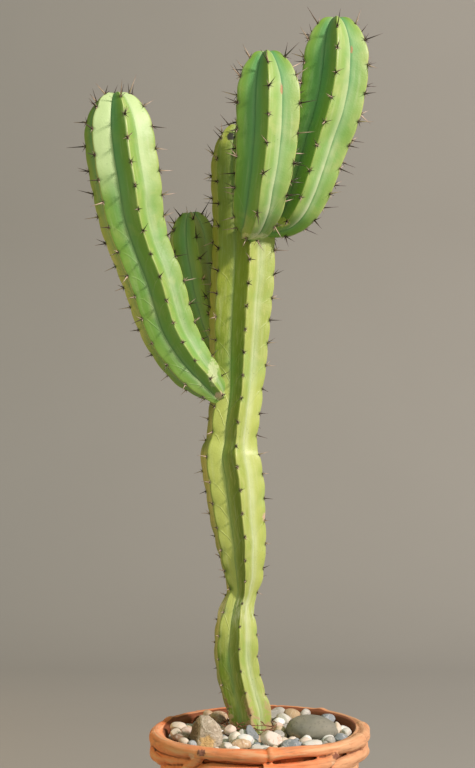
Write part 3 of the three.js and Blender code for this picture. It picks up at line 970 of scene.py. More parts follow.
class Axis:
    """A smooth line through a stem's stations, read by the length along it."""

    STEPS = 24

    def __init__(self, stations: Sequence[Station]) -> None:
        """Samples the line.

        Args:
            stations: Points of the axis with the crest radius there, in millimetres.
        """
        points = [Vector(station[:3]) for station in stations]
        reach = [station[3] for station in stations]
        points = [2 * points[0] - points[1], *points, 2 * points[-1] - points[-2]]
        reach = [reach[0], *reach, reach[-1]]
        self.samples: list[tuple[float, Vector, float]] = []
        for i in range(1, len(points) - 2):
            for step in range(self.STEPS + (i == len(points) - 3)):
                share = step / self.STEPS
                self.add(self.point(points[i - 1:i + 3], share),
                         self.radius(reach[i - 1:i + 3], share))

    def add(self, point: Vector, radius: float) -> None:
        """Adds a sample with its length along the line.

        Args:
            point: The point.
            radius: The radius there.
        """
        along = 0.0
        if self.samples:
            along = self.samples[-1][0] + (point - self.samples[-1][1]).length
        self.samples.append((along, point, radius))

    @staticmethod
    def point(four: Sequence[Vector], share: float) -> Vector:
        """A point between the middle two of four points.

        Args:
            four: The points.
            share: How far it is from the second to the third.

        Returns:
            The point on a centripetal curve.
        """
        before, start, end, after = four
        gap = [math.sqrt((b - a).length) for a, b in zip(four, four[1:])]
        leave = (start - before) / gap[0] - (end - before) / (gap[0] + gap[1])
        leave = (leave + (end - start) / gap[1]) * gap[1]
        reach = (end - start) / gap[1] - (after - start) / (gap[1] + gap[2])
        reach = (reach + (after - end) / gap[2]) * gap[1]
        square = 3 * (end - start) - 2 * leave - reach
        cube = 2 * (start - end) + leave + reach
        return start + leave * share + square * share ** 2 + cube * share ** 3

    @staticmethod
    def radius(four: Sequence[float], share: float) -> float:
        """A radius between the middle two of four.

        Args:
            four: The radii.
            share: How far it is from the second to the third.

        Returns:
            The radius.
        """
        before, start, end, after = four
        leave, reach = (end - before) / 2, (after - start) / 2
        square = 3 * (end - start) - 2 * leave - reach
        cube = 2 * (start - end) + leave + reach
        return start + leave * share + square * share ** 2 + cube * share ** 3

    def read(self, along: float) -> tuple[Vector, Vector, float]:
        """Reads the line.

        Args:
            along: The length along it.

        Returns:
            The point, the direction and the radius there.
        """
        low, high = 0, len(self.samples) - 1
        while high - low > 1:
            middle = (low + high) // 2
            low, high = (middle, high) if self.samples[middle][0] <= along else (low, middle)
        start, end = self.samples[low], self.samples[high]
        share = (along - start[0]) / (end[0] - start[0])
        behind = self.samples[max(0, low - 3)][1]
        ahead = self.samples[min(len(self.samples) - 1, high + 3)][1]
        radius = start[2] + (end[2] - start[2]) * share
        return start[1].lerp(end[1], share), (ahead - behind).normalized(), radius


@dataclass
class Stem:
    """A six-ribbed stem with its areoles and spines.

    Lengths are in millimetres, angles in degrees, and keys go by the height.

    Attributes:
        node: The CAD node.
        stations: Points of the axis with the crest radius there.
        groove: The groove's share of the crest radius, at the foot and at the apex.
        crest_bearing: Where the first rib stands.
        dome: Height of the rounded top.
        pitch: Spacing of full-grown areoles.
        first_areole: The way from the apex to the first of them.
        flesh: The skin's finish.
        swell: Rise of the crest between two areoles.
        spine_keys: How large the spines are.
        row_step: Spacing of the rows below the dome.
        dome_rows: How many rows the dome has.
        dimple: Depth of the hollow at the apex.
        dimple_from: The angle over the dome where the hollow starts.
        crest_softness: How blunt the crests are.
        flank_swell: How full the flanks are, as a share.
        half_rib: The columns of half a rib, from its crest.
        bare_neck: Length of the foot that bears no areoles.
        lowest_areole: The height below which there are none.
        radial_counts: How many short spines a cluster may have.
        spine_gap: How far a spine's tip stays clear of the other stems.
        spine_root: How deep a spine starts below the felt.
        fullness: The share of the radius that counts as inside the stem.
        guard_rows: Every so many rows are looked at for that.
        twist: How far the ribs are turned.
        dome_groove: How much the groove's share falls for each degree over the dome.
        young_gap: The first gap between areoles, as a share of the pitch.
        gap_growth: How much that share grows with each gap.
        crest_width: How far the swell reaches from the crest.
        notch: Depth of the dent at an areole, and its reach in counts of areoles.
        puff: Height of the soft bulges of the flanks.
        crease: Depth of the fold in a groove as a share, and its reach.
        waves: Height and length of the skin's waves.
        star_rise: How far the crests stand up round the apex.
        full_relief: The radius from which on the relief is whole.
    """

    node: str
    stations: list[Station]
    groove: tuple[float, float]
    crest_bearing: float
    dome: float
    pitch: float
    first_areole: float
    flesh: FleshFinish
    swell: float = 0.72
    spine_keys: Keys = ((0.0, 1.0),)
    row_step: float = 3.6
    dome_rows: int = 18
    dimple: float = 3.0
    dimple_from: float = 66.0
    crest_softness: float = 1.5
    flank_swell: float = 0.014
    half_rib: tuple[float, ...] = (0, 1.3, 3, 5.5, 9, 13.5, 18.5, 23.5, 27.2, 29.2)
    bare_neck: float = 24.0
    lowest_areole: float = 272.0
    radial_counts: tuple[int, ...] = (4, 5, 5, 6)
    spine_gap: float = 1.5
    spine_root: float = 1.2
    fullness: float = 0.93
    guard_rows: int = 6
    twist: Keys = ((0.0, 0.0),)
    dome_groove: float = 0.0009
    young_gap: float = 0.65
    gap_growth: float = 0.3
    crest_width: float = 8.0
    notch: tuple[float, float] = (0.5, 0.11)
    puff: float = 0.2
    crease: tuple[float, float] = (0.008, 2.4)
    waves: Keys = ((0.9, 34), (0.35, 12))
    star_rise: float = 2.5
    full_relief: float = 20.0

    def __post_init__(self) -> None:
        """Lays the rows along the axis and measures each row's way from the apex."""
        self.axis = Axis(self.stations)
        self.length = self.axis.samples[-1][0]
        body = self.length - self.dome
        steps = round(body / self.row_step)
        levels = [(body * i / steps, 0.0) for i in range(steps + 1)]
        for i in range(1, self.dome_rows + 1):
            turn = 90 * i / self.dome_rows
            sunk = self.dimple * max(0.0, (turn - self.dimple_from) / (90 - self.dimple_from)) ** 2
            levels.append((body + self.dome * math.sin(math.radians(turn)) - sunk, turn))
        self.rows: list[Row] = [self.row(*level) for level in levels]
        ways = [0.0]
        for (below, _), (above, _), low, high in zip(
                levels, levels[1:], self.rows, self.rows[1:]):
            ways.append(ways[-1] + math.hypot(above - below, high.radius - low.radius))
        self.ways = [ways[-1] - way for way in ways]
        left = (-turn for turn in reversed(self.half_rib))
        self.turns = [-HALF_RIB, *left, *self.half_rib[1:]]
        self.per_rib = len(self.turns)

    def row(self, along: float, turn: float) -> Row:
        """One level of the stem.

        Args:
            along: Its length along the axis.
            turn: How far over the dome it is, in degrees.

        Returns:
            The row.
        """
        centre, tangent, radius = self.axis.read(along)
        front = Vector((0, -1, 0))
        front = (front - tangent * front.dot(tangent)).normalized()
        front.rotate(Matrix.Rotation(math.radians(eased(self.twist, centre.z)), 3, tangent))
        share = along / self.length
        groove = self.groove[0] + (self.groove[1] - self.groove[0]) * share
        groove -= self.dome_groove * turn
        radius *= math.cos(math.radians(turn))
        return Row(centre, tangent, front, tangent.cross(front), radius, turn, groove)

    def order(self, way: float) -> float:
        """Counts areoles from the apex, closer together where the tip still grows.

        Args:
            way: The way down the crest from the apex.

        Returns:
            The count there, which is whole at an areole of an even rib.
        """
        left, count = way - self.first_areole, 0
        if left < 0:
            return left / (self.pitch * self.young_gap)
        while True:
            gap = self.pitch * min(1.0, self.young_gap + self.gap_growth * count)
            if gap >= self.pitch:
                return count + left / self.pitch
            if left <= gap:
                return count + left / gap
            left -= gap
            count += 1

    @staticmethod
    def stagger(rib: int) -> float:
        """How far a rib's areoles are shifted against its neighbours', in counts."""
        return 0.5 if rib % 2 else 0.0

    def section(self, turn: float, groove: float) -> float:
        """Cuts the stem's six-ribbed section.

        Args:
            turn: The angle from the crest, in degrees.
            groove: The groove's share of the crest radius.

        Returns:
            The skin's share of it.
        """
        turn = abs(turn)
        soft = self.crest_softness
        rounded = math.hypot(turn, soft) - soft * (1 - turn / HALF_RIB)
        rounded = math.radians(min(HALF_RIB, rounded))
        half = math.radians(HALF_RIB)
        flat = groove * math.sin(half) / (
            math.sin(rounded) + groove * math.sin(half - rounded))
        swell = self.flank_swell * math.sin(math.pi * turn / HALF_RIB)
        depth, width = self.crease
        return flat * (1 + swell) - depth * math.exp(-((HALF_RIB - turn) / width) ** 2)

    def skin_point(self, column: int, level: int) -> Vector:
        """A point of the skin.

        Args:
            column: The column round the stem.
            level: The row.

        Returns:
            The point, in millimetres.
        """
        row = self.rows[level]
        rib, place = divmod(column, self.per_rib)
        turn = self.turns[place]
        across = abs(turn) / HALF_RIB
        outward = row.outward(self.crest_bearing + RIB_TURN * rib + turn)
        reach = row.radius * self.section(turn, row.groove)
        fade = min(1.0, row.radius / self.full_relief)
        count = self.order(self.ways[level]) + self.stagger(rib % RIBS)
        off = count - round(count)
        crest = math.exp(-(turn / self.crest_width) ** 2)
        depth, width = self.notch
        wave = self.swell * math.sin(math.pi * abs(off)) ** 2
        wave -= depth * math.exp(-(off / width) ** 2)
        puff = math.sin(math.pi * (count - ARC_DROP * across ** ARC_BEND)) ** 2
        relief = crest * (wave - self.swell * 0.4)
        relief += self.puff * (puff - 0.5) * math.sin(math.pi * across) * (1 - crest)
        point = row.centre + outward * reach
        relief += uneven(point, *self.waves)
        rise = self.star_rise * (1 - across) * math.sin(math.radians(row.turn)) ** 4 * fade
        return point + outward * relief * fade + row.tangent * rise

    def build_skin(self) -> Object:
        """Builds the ribbed body.

        Returns:
            The piece.
        """
        columns = self.per_rib * RIBS

        def place(column: int, grid_row: int) -> Vector:
            """Places a grid vertex, with the first and the last row drawn to the axis.

            Args:
                column: The column round the stem.
                grid_row: The row from the foot up.

            Returns:
                The point, in metres.
            """
            if grid_row == 0:
                return self.rows[0].centre * MM
            if grid_row == len(self.rows):
                return (self.rows[-1].centre + self.rows[-1].tangent) * MM
            return self.skin_point(column % columns, grid_row - 1) * MM

        def paint(column: int, grid_row: int, left: int) -> tuple[float, float]:
            """Reads the Skin map at a face's corner.

            Args:
                column: The vertex's column.
                grid_row: Its row.
                left: The column at the left of its face.

            Returns:
                Ribs round the stem, and areoles down from the apex.
            """
            rib = left // self.per_rib
            last = column == (rib + 1) * self.per_rib
            turn = HALF_RIB if last else self.turns[column % self.per_rib]
            count = self.order(self.ways[max(0, grid_row - 1)])
            return rib + (turn + HALF_RIB) / RIB_TURN, count + self.stagger(rib) + MAP_START

        form = wrapped_grid(columns, len(self.rows), place, paint)
        form.normal_update()
        sun, bleach = (form.verts.layers.float.new(name) for name in ("sun", "bleach"))
        # Masks for painted light and shade: the side facing the key lamp, and the painted sunlit
        # band.
        for vert in form.verts:
            bearing = math.degrees(math.atan2(vert.normal.x, -vert.normal.y))
            vert[sun] = eased(SUN_SIDE, bearing)
            vert[bleach] = eased(PAINTED_LIGHT_SIDE, bearing)
        return settle(form, self.node + "_skin", self.flesh.material(self.pitch), "stem", self.node)

    def areoles(self) -> Iterator[Areole]:
        """Finds the areoles of every rib.

        Yields:
            Each areole, from the apex down.
        """
        last = self.ways[0] - self.bare_neck
        for rib in range(RIBS):
            column = rib * self.per_rib + len(self.half_rib)
            for level in range(len(self.rows) - 2, 0, -1):
                if self.ways[level] > last:
                    break
                above = self.order(self.ways[level]) + self.stagger(rib)
                below = self.order(self.ways[level - 1]) + self.stagger(rib)
                if math.floor(below) == math.floor(above) or below < 0.2:
                    continue
                share = (math.floor(below) - above) / (below - above)
                row = self.rows[level]
                point = self.skin_point(column, level).lerp(
                    self.skin_point(column, level - 1), share)
                lean = math.radians(row.turn * 0.8)
                outward = row.outward(self.crest_bearing + RIB_TURN * rib)
                facing = outward * math.cos(lean) + row.tangent * math.sin(lean)
                upward = row.tangent * math.cos(lean) - outward * math.sin(lean)
                yield Areole(point, facing, upward, math.floor(below))

    def contains(self, point: Vector, clear: float) -> bool:
        """Whether a point in millimetres lies inside this stem, or closer to it than clear."""
        return any((row.centre - point).length < row.radius * self.fullness + clear
                   for row in self.rows[::self.guard_rows])

    def build_spines(self, others: "Sequence[Stem]", seed: int) -> list[Object]:
        """Builds the areoles' felt pads and spines.

        Args:
            others: The other stems, which no spine may enter.
            seed: The seed of the spines' spread.

        Returns:
            The two pieces.
        """
        draw = random.Random(seed)
        felt, spines = toned_form(), toned_form()
        for areole in self.areoles():
            if areole.point.z < self.lowest_areole:
                continue
            if any(other.contains(areole.point, 0) for other in others):
                continue
            fresh = max(0.0, 1 - areole.order / 4)
            scale = eased(self.spine_keys, areole.point.z)
            self.add_pad(felt, areole, fresh, scale, draw)
            self.add_star(spines, areole, fresh, scale, others, draw)
        return [
            settle(felt, self.node + "_felt", FeltFinish().material(), "stem", self.node),
            settle(spines, self.node + "_spines", SpineFinish().material(), "stem", self.node),
        ]

    @staticmethod
    def add_pad(form: BMesh, areole: Areole, fresh: float, scale: float,
                draw: random.Random) -> None:
        """Adds one felt pad.

        Args:
            form: The felt's mesh.
            areole: Where it sits.
            fresh: How young it is, from 0 to 1.
            scale: How large areoles are at this height.
            draw: The source of chance.
        """
        size = draw.uniform(0.8, 1.1) * (0.6 + 0.4 * scale) * MM
        across = areole.facing.cross(areole.upward)
        turn = Matrix((across, areole.upward, areole.facing)).transposed().to_4x4()
        stretch = Matrix.Diagonal((1.7 * size, 2.1 * size, 1.4 * size, 1))
        matrix = Matrix.Translation(areole.point * MM) @ turn @ stretch
        made = bmesh.ops.create_uvsphere(form, u_segments=8, v_segments=5, radius=1, matrix=matrix)
        set_tone(form, made["verts"], fresh * draw.uniform(0.7, 1.0))

    def add_star(self, form: BMesh, areole: Areole, fresh: float, scale: float,
                 others: "Sequence[Stem]", draw: random.Random) -> None:
        """Adds one areole's spines: one or two long ones and a star of short ones.

        Args:
            form: The spines' mesh.
            areole: Where they stand.
            fresh: How young the areole is, from 0 to 1.
            scale: How long spines are at this height.
            others: The other stems.
            draw: The source of chance.
        """
        across = areole.facing.cross(areole.upward)
        central, second, radial = (kind.value for kind in Spine)
        plans = []

        def plan(kind: SpineRange, turn: float | None = None) -> None:
            """Draws a spine of a kind, at a turn round the areole if that is known.

            Args:
                kind: Its kind.
                turn: Its turn round the areole, where that is known.
            """
            lean = draw.uniform(*kind.lean)
            turn = draw.uniform(*kind.turn) if turn is None else turn
            plans.append((kind, lean, turn, draw.uniform(*kind.length)))

        plan(central)
        if draw.random() < 0.5 + 0.4 * fresh:
            plan(second)
        count = draw.choice(self.radial_counts)
        start = draw.uniform(0, 360)
        for i in range(count if areole.order > 1 else 2):
            plan(radial, start + 360 / count * i + draw.uniform(*radial.turn))
        for kind, lean, turn, length in plans:
            lean, turn = math.radians(lean), math.radians(turn)
            sideways = areole.upward * math.cos(turn) + across * math.sin(turn)
            way = areole.facing * math.cos(lean) + sideways * math.sin(lean)
            length *= scale ** kind.follows * (1 + 0.15 * fresh)
            tip = areole.point + way * length
            if any(other.contains(tip, self.spine_gap) for other in others):
                continue
            tone = draw.uniform(0.0, kind.palest)
            root = areole.point - way * self.spine_root
            self.add_spine(form, root, tip, kind.radius * min(1.0, 0.5 + scale / 2), tone)

    @staticmethod
    def add_spine(form: BMesh, root: Vector, tip: Vector, thick: float, tone: float) -> None:
        """Adds one spine.

        Args:
            form: The spines' mesh.
            root: Where it starts, in millimetres.
            tip: Where it ends.
            thick: Its radius at the root.
            tone: How bleached it is, from 0 to 1.
        """
        verts = rod(form, root, tip, (thick, 0.12), 5, cap_tris=True)
        set_tone(form, verts, tone)
        middle = (root + tip) / 2 * MM
        layer = form.verts.layers.float["tip"]
        for vert in verts:
            vert[layer] = 1.0 if (vert.co - middle).dot(tip - root) > 0 else 0.0


@dataclass
class Rootlets:
    """Dry rootlets that curl from the trunk's foot over the stones."""

    centre: tuple[float, float] = (-12.0, 14.0)
    bearings: tuple[float, ...] = (
        -104, -92, -82, -73, -65, -57, -50, -43, -36, -29, -22, -15, -8, -1, 8, 22, -125,
        118, 170, 235)
    reaches: tuple[float, float] = (32.5, 40.0)
    heights: tuple[float, float] = (275.0, 268.5)
    radius: float = 0.8
    seed: int = 5

    def build(self) -> Object:
        """Builds the rootlets.

        Returns:
            The piece.
        """
        draw = random.Random(self.seed)
        forms = [self.rootlet(bearing, draw) for bearing in self.bearings]
        return settle(joined(forms), "rootlets", RootFinish().material(), "stem")

    def rootlet(self, bearing: float, draw: random.Random) -> BMesh:
        """One rootlet as a tapering tube.

        Args:
            bearing: Its bearing round the trunk.
            draw: The source of chance.

        Returns:
            The tube.
        """
        rows, columns = 26, 6
        top = self.heights[0] + draw.uniform(-7, 8)
        bottom = self.heights[1] + draw.uniform(-4, 6)
        sway, twist = draw.choice((-1, 1)) * draw.uniform(40, 85), draw.uniform(0, 6)
        far = self.reaches[1] + draw.uniform(-6, 6)
        arch = draw.uniform(-3, 5)
        centre = Vector((*self.centre, 0))

        def spine(share: float) -> Vector:
            """The tube's axis at a share of its length.

            Args:
                share: The share, from 0 to 1.

            Returns:
                The point, in millimetres.
            """
            reach = self.reaches[0] + (far - self.reaches[0]) * share ** 0.8
            height = top + (bottom - top) * share + arch * math.sin(math.pi * share)
            wobble = sway * share + 6 * math.sin(twist + 9 * share) - 6 * math.sin(twist)
            return centre + bearing_point(bearing + wobble, reach, height)

        def place(column: int, row: int) -> Vector:
            """A point of the tube, drawn to its axis at both ends.

            Args:
                column: The column round it.
                row: The row along it.

            Returns:
                The point, in metres.
            """
            share = row / rows
            if row in (0, rows):
                return spine(share) * MM
            way = (spine(share + 0.02) - spine(share - 0.02)).normalized()
            side = way.cross(Vector((0, 0, 1))).normalized()
            turn = math.tau * column / columns
            ring = side * math.cos(turn) + way.cross(side) * math.sin(turn)
            return (spine(share) + ring * self.radius * (1 - 0.6 * share)) * MM

        return wrapped_grid(columns, rows, place)


# The pot


@dataclass(frozen=True)
class Branch:
    """One branch of the rim between two bearings, as keys of reach, height and thickness.

    A knot has a rise in millimetres and a reach in degrees. A dish is how far the middle of a
    cut end is sunk, in degrees, and an end without one is rounded.
    """

    start: float
    end: float
    reach: Keys
    height: Keys
    thickness: Keys
    knots: tuple[float, ...] = ()
    dishes: tuple[float | None, float | None] = (None, None)
    columns: int = 22
    rows_per_degree: float = 1.1
    knot: tuple[float, float] = (2.2, 3.2)
    round_rows: int = 3

    def form(self) -> BMesh:
        """Builds the branch as a closed tube with bark ridges.

        Returns:
            The tube.
        """
        rows = max(8, round((self.end - self.start) * self.rows_per_degree))
        swell, width = self.knot

        def place(column: int, row: int) -> Vector:
            """A point of the tube, drawn to its axis at both ends.

            Args:
                column: The column round it.
                row: The row along it.

            Returns:
                The point, in metres.
            """
            share = row / rows
            bearing = self.start + (self.end - self.start) * share
            dish = self.dishes[row * 2 > rows]
            if row in (0, rows):
                bearing += (dish or 0) * (1 if row == 0 else -1)
            axis = bearing_point(bearing, eased(self.reach, bearing), eased(self.height, bearing))
            if row in (0, rows):
                return axis * MM
            thick = eased(self.thickness, bearing)
            for knot in self.knots:
                thick += swell * math.exp(-((bearing - knot) / width) ** 2)
            turn = math.tau * column / self.columns
            outward = bearing_point(bearing, 1, 0)
            ring = outward * math.cos(turn) + Vector((0, 0, 1)) * math.sin(turn)
            at = Vector((math.cos(turn) * 2.3, math.sin(turn) * 2.3, bearing / 11 + self.start))
            ridge = 0.5 * noise.noise(at) + 0.3 * noise.noise(at * 2.3)
            bend = 0.6 * noise.noise(Vector((bearing / 9, self.start, 3.0)))
            end = min(row, rows - row)
            full = min(1.0, end / self.round_rows) if dish is None else 1.0
            close = math.sqrt(1 - (1 - full) ** 2)
            return (axis + ring * ((thick + ridge) * close) + outward * bend) * MM

        return wrapped_grid(self.columns, rows, place)


@dataclass
class Pot:
    """The terracotta pot: a turned wall with drain holes, and the branches round its rim.

    The belly and the top are outer radii with their heights. The collar's tilt is how far it
    rises and towards which bearing. A twig's foot and top are a bearing from its own, a reach
    and a height, and the splinters' are the spans that these three are drawn from.
    """

    base_radius: float = 95.0
    belly: tuple[float, float] = (134.0, 215.0)
    top: tuple[float, float] = (135.0, 256.0)
    wall: float = 8.5
    floor: float = 14.0
    drain_radius: float = 8.0
    drain_reach: float = 36.0
    voxel: float = 1.5
    collar_section: Keys = (
        (127.8, 246), (134, 246), (134.6, 262), (134, 266.5), (132.5, 268.6), (130, 268.2),
        (128.2, 265.5), (127.8, 256))
    collar_tilt: tuple[float, float] = (3.8, 110.0)
    collar_wave: float = 0.7
    collar_foot: float = 255.0
    twig_bearings: tuple[float, ...] = (-28, 104, 163, 222, 281)
    twig_foot: Triple = (-14.0, 138.5, 238.0)
    twig_top: Triple = (-3.0, 143.5, 266.0)
    twig_radii: tuple[float, float] = (10.0, 6.3)
    splinters: int = 11
    splinter_foot: Keys = ((36.5, 38.5), (144, 150), (251, 258))
    splinter_top: Keys = ((39.5, 42.5), (147, 153), (251, 264))
    splinter_radii: tuple[float, float] = (2.4, 0.9)
    relax_steps: int = 9
    branches: tuple[Branch, ...] = (
        Branch(
            -193, 3.5, ((-190, 139.5), (-56, 140.5), (-29, 140), (3, 140)),
            ((-190, 262.5), (-140, 260), (-90, 258.7), (-56, 260.5), (-29, 263.5), (-12, 264.5),
             (3, 264)),
            ((-193, 9.5), (-90, 9.5), (-56, 9.5), (-29, 8.3), (-18, 8), (-8, 8.8), (0, 9.3),
             (3, 8.6)),
            (-118,), (None, 0.6)),
        Branch(
            2, 79, ((2, 139.8), (79, 140.3)),
            ((3, 266.5), (20, 268), (33, 266.5), (45, 265), (60, 264), (70, 263), (79, 263.5)),
            ((3, 8), (20, 7.3), (33, 7.3), (42, 8), (60, 8.8), (79, 9)), (3.5, 68)),
        Branch(
            74, 170, ((74, 140.3), (170, 139)),
            ((74, 263.5), (90, 263), (130, 263), (170, 262.5)), ((74, 9.5), (170, 9.5)),
            (96, 140)),
        Branch(
            -176, -33, ((-176, 138.5), (-90, 137.3), (-55, 140), (-34, 141)),
            ((-176, 238), (-140, 240), (-90, 237.5), (-70, 241), (-55, 246.5), (-41, 250.5),
             (-34, 252)),
            ((-176, 10.5), (-90, 12), (-70, 10), (-55, 7), (-41, 5.5), (-34, 5)), (-150, -104)),
        Branch(
            -60, 62, ((-60, 138), (62, 138)),
            ((-60, 230), (-40, 236), (-25, 242), (0, 241), (30, 236), (62, 232)),
            ((-60, 10), (62, 10))),
        Branch(
            0, 40, ((0, 142), (20, 144), (40, 145)),
            ((0, 247.5), (5, 245.5), (17, 246), (26, 247), (33, 249), (40, 254.5)),
            ((0, 8), (5, 9), (26, 9.5), (40, 8)), (), (2.2, 0.5)),
        Branch(
            36, 188, ((36, 139), (50, 141), (62, 140), (90, 139), (188, 138.5)),
            ((36, 240), (50, 243), (62, 246), (75, 244), (95, 238), (130, 234), (188, 238)),
            ((36, 7), (50, 9), (62, 9.8), (75, 9.5), (95, 10), (188, 10.5)), (110, 152)),
    )
    marks: tuple[Mark, ...] = (
        Mark((-76, -126, 265.5), (7.5, 8, 5.5), (0.15, 0.065, 0.06)),
        Mark((-88, -118, 259), (6, 7, 5), (0.76, 0.56, 0.40), 0.5),
        # The next two are painted shade: black spots in gaps between the branches.
        Mark((-142, -42, 251), (9, 9, 4.5), (0.04, 0.016, 0.01), 0.95),
        Mark((-69, -126, 254.4), (5, 9, 4.6), (0.035, 0.014, 0.01), 0.95),
        Mark((96, -115, 258), (7, 8, 6), (0.15, 0.045, 0.03)),
        Mark((91, -118, 250), (6, 8, 4), (0.76, 0.52, 0.34), 0.5),
    )

    def collar(self) -> BMesh:
        """Builds the flat inner face behind the branches, which follows the rim's tilt.

        Returns:
            The ring.
        """
        rows = 180

        def place(column: int, row: int) -> Vector:
            """A point of the ring's section at a bearing.

            Args:
                column: The section's point.
                row: The row round the rim.

            Returns:
                The point, in metres.
            """
            bearing = 360 * (row % rows) / rows
            most, toward = self.collar_tilt
            tilt = most * math.cos(math.radians(bearing - toward))
            wave = self.collar_wave * noise.noise(bearing_point(bearing, 3, 0))
            reach, height = self.collar_section[column % len(self.collar_section)]
            lift = tilt + wave if height > self.collar_foot else 0.0
            return bearing_point(bearing, reach + 0.3 * wave, height + lift) * MM

        return wrapped_grid(len(self.collar_section), rows, place)

    def wall_form(self) -> BMesh:
        """Turns the wall and floor, and drills the drain holes.

        Returns:
            The mesh.
        """
        base, wall, floor = self.base_radius, self.wall, self.floor
        (belly, belly_height), (lip, top) = self.belly, self.top
        slope = (belly - base) / belly_height
        inner = base + slope * floor - wall
        profile = [
            (0, 0), (base - 9, 0), (base - 3, 0.4), (base - 0.6, 2), (base + 0.2, 5),
            *((base + slope * z + 0.25 * math.sin(z / 7), z) for z in range(12, 212, 10)),
            (belly, belly_height), (lip, top - 2), (lip - 2, top), (lip - wall + 2, top),
            (lip - wall, top - 2), (belly - wall, belly_height), (inner + 4, floor + 9),
            (inner - 1, floor + 1.5), (inner - 7, floor), (0, floor),
        ]
        form = bmesh.new()
        verts = [form.verts.new((reach * MM, 0, z * MM)) for reach, z in profile]
        edges = [form.edges.new(pair) for pair in zip(verts, verts[1:])]
        bmesh.ops.spin(form, geom=[*verts, *edges], cent=(0, 0, 0), axis=(0, 0, 1),
                       angle=math.tau, steps=96, use_merge=True, use_duplicate=False)
        bmesh.ops.remove_doubles(form, verts=form.verts, dist=1e-6)
        bmesh.ops.recalc_face_normals(form, faces=form.faces)
        drills = bmesh.new()
        for bearing in (0, 120, 240):
            at = bearing_point(bearing, self.drain_reach, floor / 2) * MM
            bmesh.ops.create_cone(
                drills, cap_ends=True, segments=32, radius1=self.drain_radius * MM,
                radius2=self.drain_radius * MM, depth=(floor + 4) * MM,
                matrix=Matrix.Translation(at))
        cutter = as_object(drills, "drills")
        cut = with_modifier(form, "BOOLEAN", operation="DIFFERENCE", solver="EXACT", object=cutter)
        discard(cutter)
        return cut

    def twig(self, bearing: float) -> BMesh:
        """A cut twig that leans from the upper branch down over the lower one.

        Args:
            bearing: Where it lies on the rim.

        Returns:
            The twig.
        """
        foot, top = (bearing_point(bearing + shift, reach, height)
                     for shift, reach, height in (self.twig_foot, self.twig_top))
        form = bmesh.new()
        rod(form, foot, top, self.twig_radii, 14)
        rims = [edge for edge in form.edges if len(edge.link_faces) == 2 and
                max(len(face.verts) for face in edge.link_faces) > 4]
        bmesh.ops.bevel(form, geom=rims, offset=1.4 * MM, affect="EDGES", segments=2,
                        profile=0.5, material=-1)
        return form

    def stub(self) -> BMesh:
        """The frayed end of the short front branch, as a bundle of splinters.

        Returns:
            The bundle.
        """
        draw = random.Random(8)
        form = bmesh.new()
        for _ in range(self.splinters):
            foot, top = (bearing_point(*(draw.uniform(*span) for span in spans))
                         for spans in (self.splinter_foot, self.splinter_top))
            rod(form, foot, top, self.splinter_radii, 8)
        return form

    @staticmethod
    def soften(form: BMesh, share: float) -> None:
        """Moves every point by a share of its way to its neighbours' middle."""
        bmesh.ops.smooth_vert(form, verts=form.verts, factor=share,
                              use_axis_x=True, use_axis_y=True, use_axis_z=True)

    def build(self) -> list[Object]:
        """Builds the wall and the branches.

        Returns:
            The two pieces.
        """
        clay = TerracottaFinish(marks=self.marks).material()
        forms = [self.collar(), *(branch.form() for branch in self.branches), self.stub()]
        forms += [self.twig(bearing) for bearing in self.twig_bearings]
        rim = with_modifier(joined(forms), "REMESH", mode="VOXEL", voxel_size=self.voxel * MM)
        self.soften(rim, 0.5)
        rim.normal_update()
        relaxed = rim.copy()
        for _ in range(self.relax_steps):
            self.soften(relaxed, 1.0)
        hollow = rim.verts.layers.float.new("hollow")
        for vert, soft in zip(rim.verts, relaxed.verts):
            vert[hollow] = (soft.co - vert.co).dot(vert.normal) / MM
        relaxed.free()
        return [
            settle(self.wall_form(), "pot_wall", clay, "terracotta", "pot"),
            settle(rim, "pot_branches", clay, "terracotta", "pot"),
        ]


# The stones


@dataclass(frozen=True)
class Pebble:
    """A rounded stone: its middle, half sizes, turn and tilt, in millimetres and degrees."""

    at: Triple
    half: Triple
    kind: Stone
    turn: float = 0.0
    tilt: float = 0.0

    def matrix(self) -> Matrix:
        """Joins the stone's place, turn, tilt and size.

        Returns:
            The matrix that makes the stone of a unit ball, in metres.
        """
        turn = Matrix.Rotation(math.radians(self.turn), 4, "Z")
        tilt = Matrix.Rotation(math.radians(self.tilt), 4, "Y")
        size = Matrix.Diagonal((*(half * MM for half in self.half), 1))
        return Matrix.Translation(Vector(self.at) * MM) @ turn @ tilt @ size

    def covers(self, x: float, y: float, margin: float) -> bool:
        """Whether a point in plan lies on this stone or within a margin of it.

        Args:
            x: The point, to the right.
            y: The point, to the back.
            margin: The margin, in millimetres.

        Returns:
            Whether it does.
        """
        turn = math.radians(-self.turn)
        dx, dy = x - self.at[0], y - self.at[1]
        along = dx * math.cos(turn) - dy * math.sin(turn)
        across = dx * math.sin(turn) + dy * math.cos(turn)
        return math.hypot(along / (self.half[0] + margin), across / (self.half[1] + margin)) < 1


@dataclass(frozen=True)
class Grade:
    """A size of scattered pebble: its radius, the height that it lies at, and how close."""

    radius: tuple[float, float]
    level: tuple[float, float]
    close: float


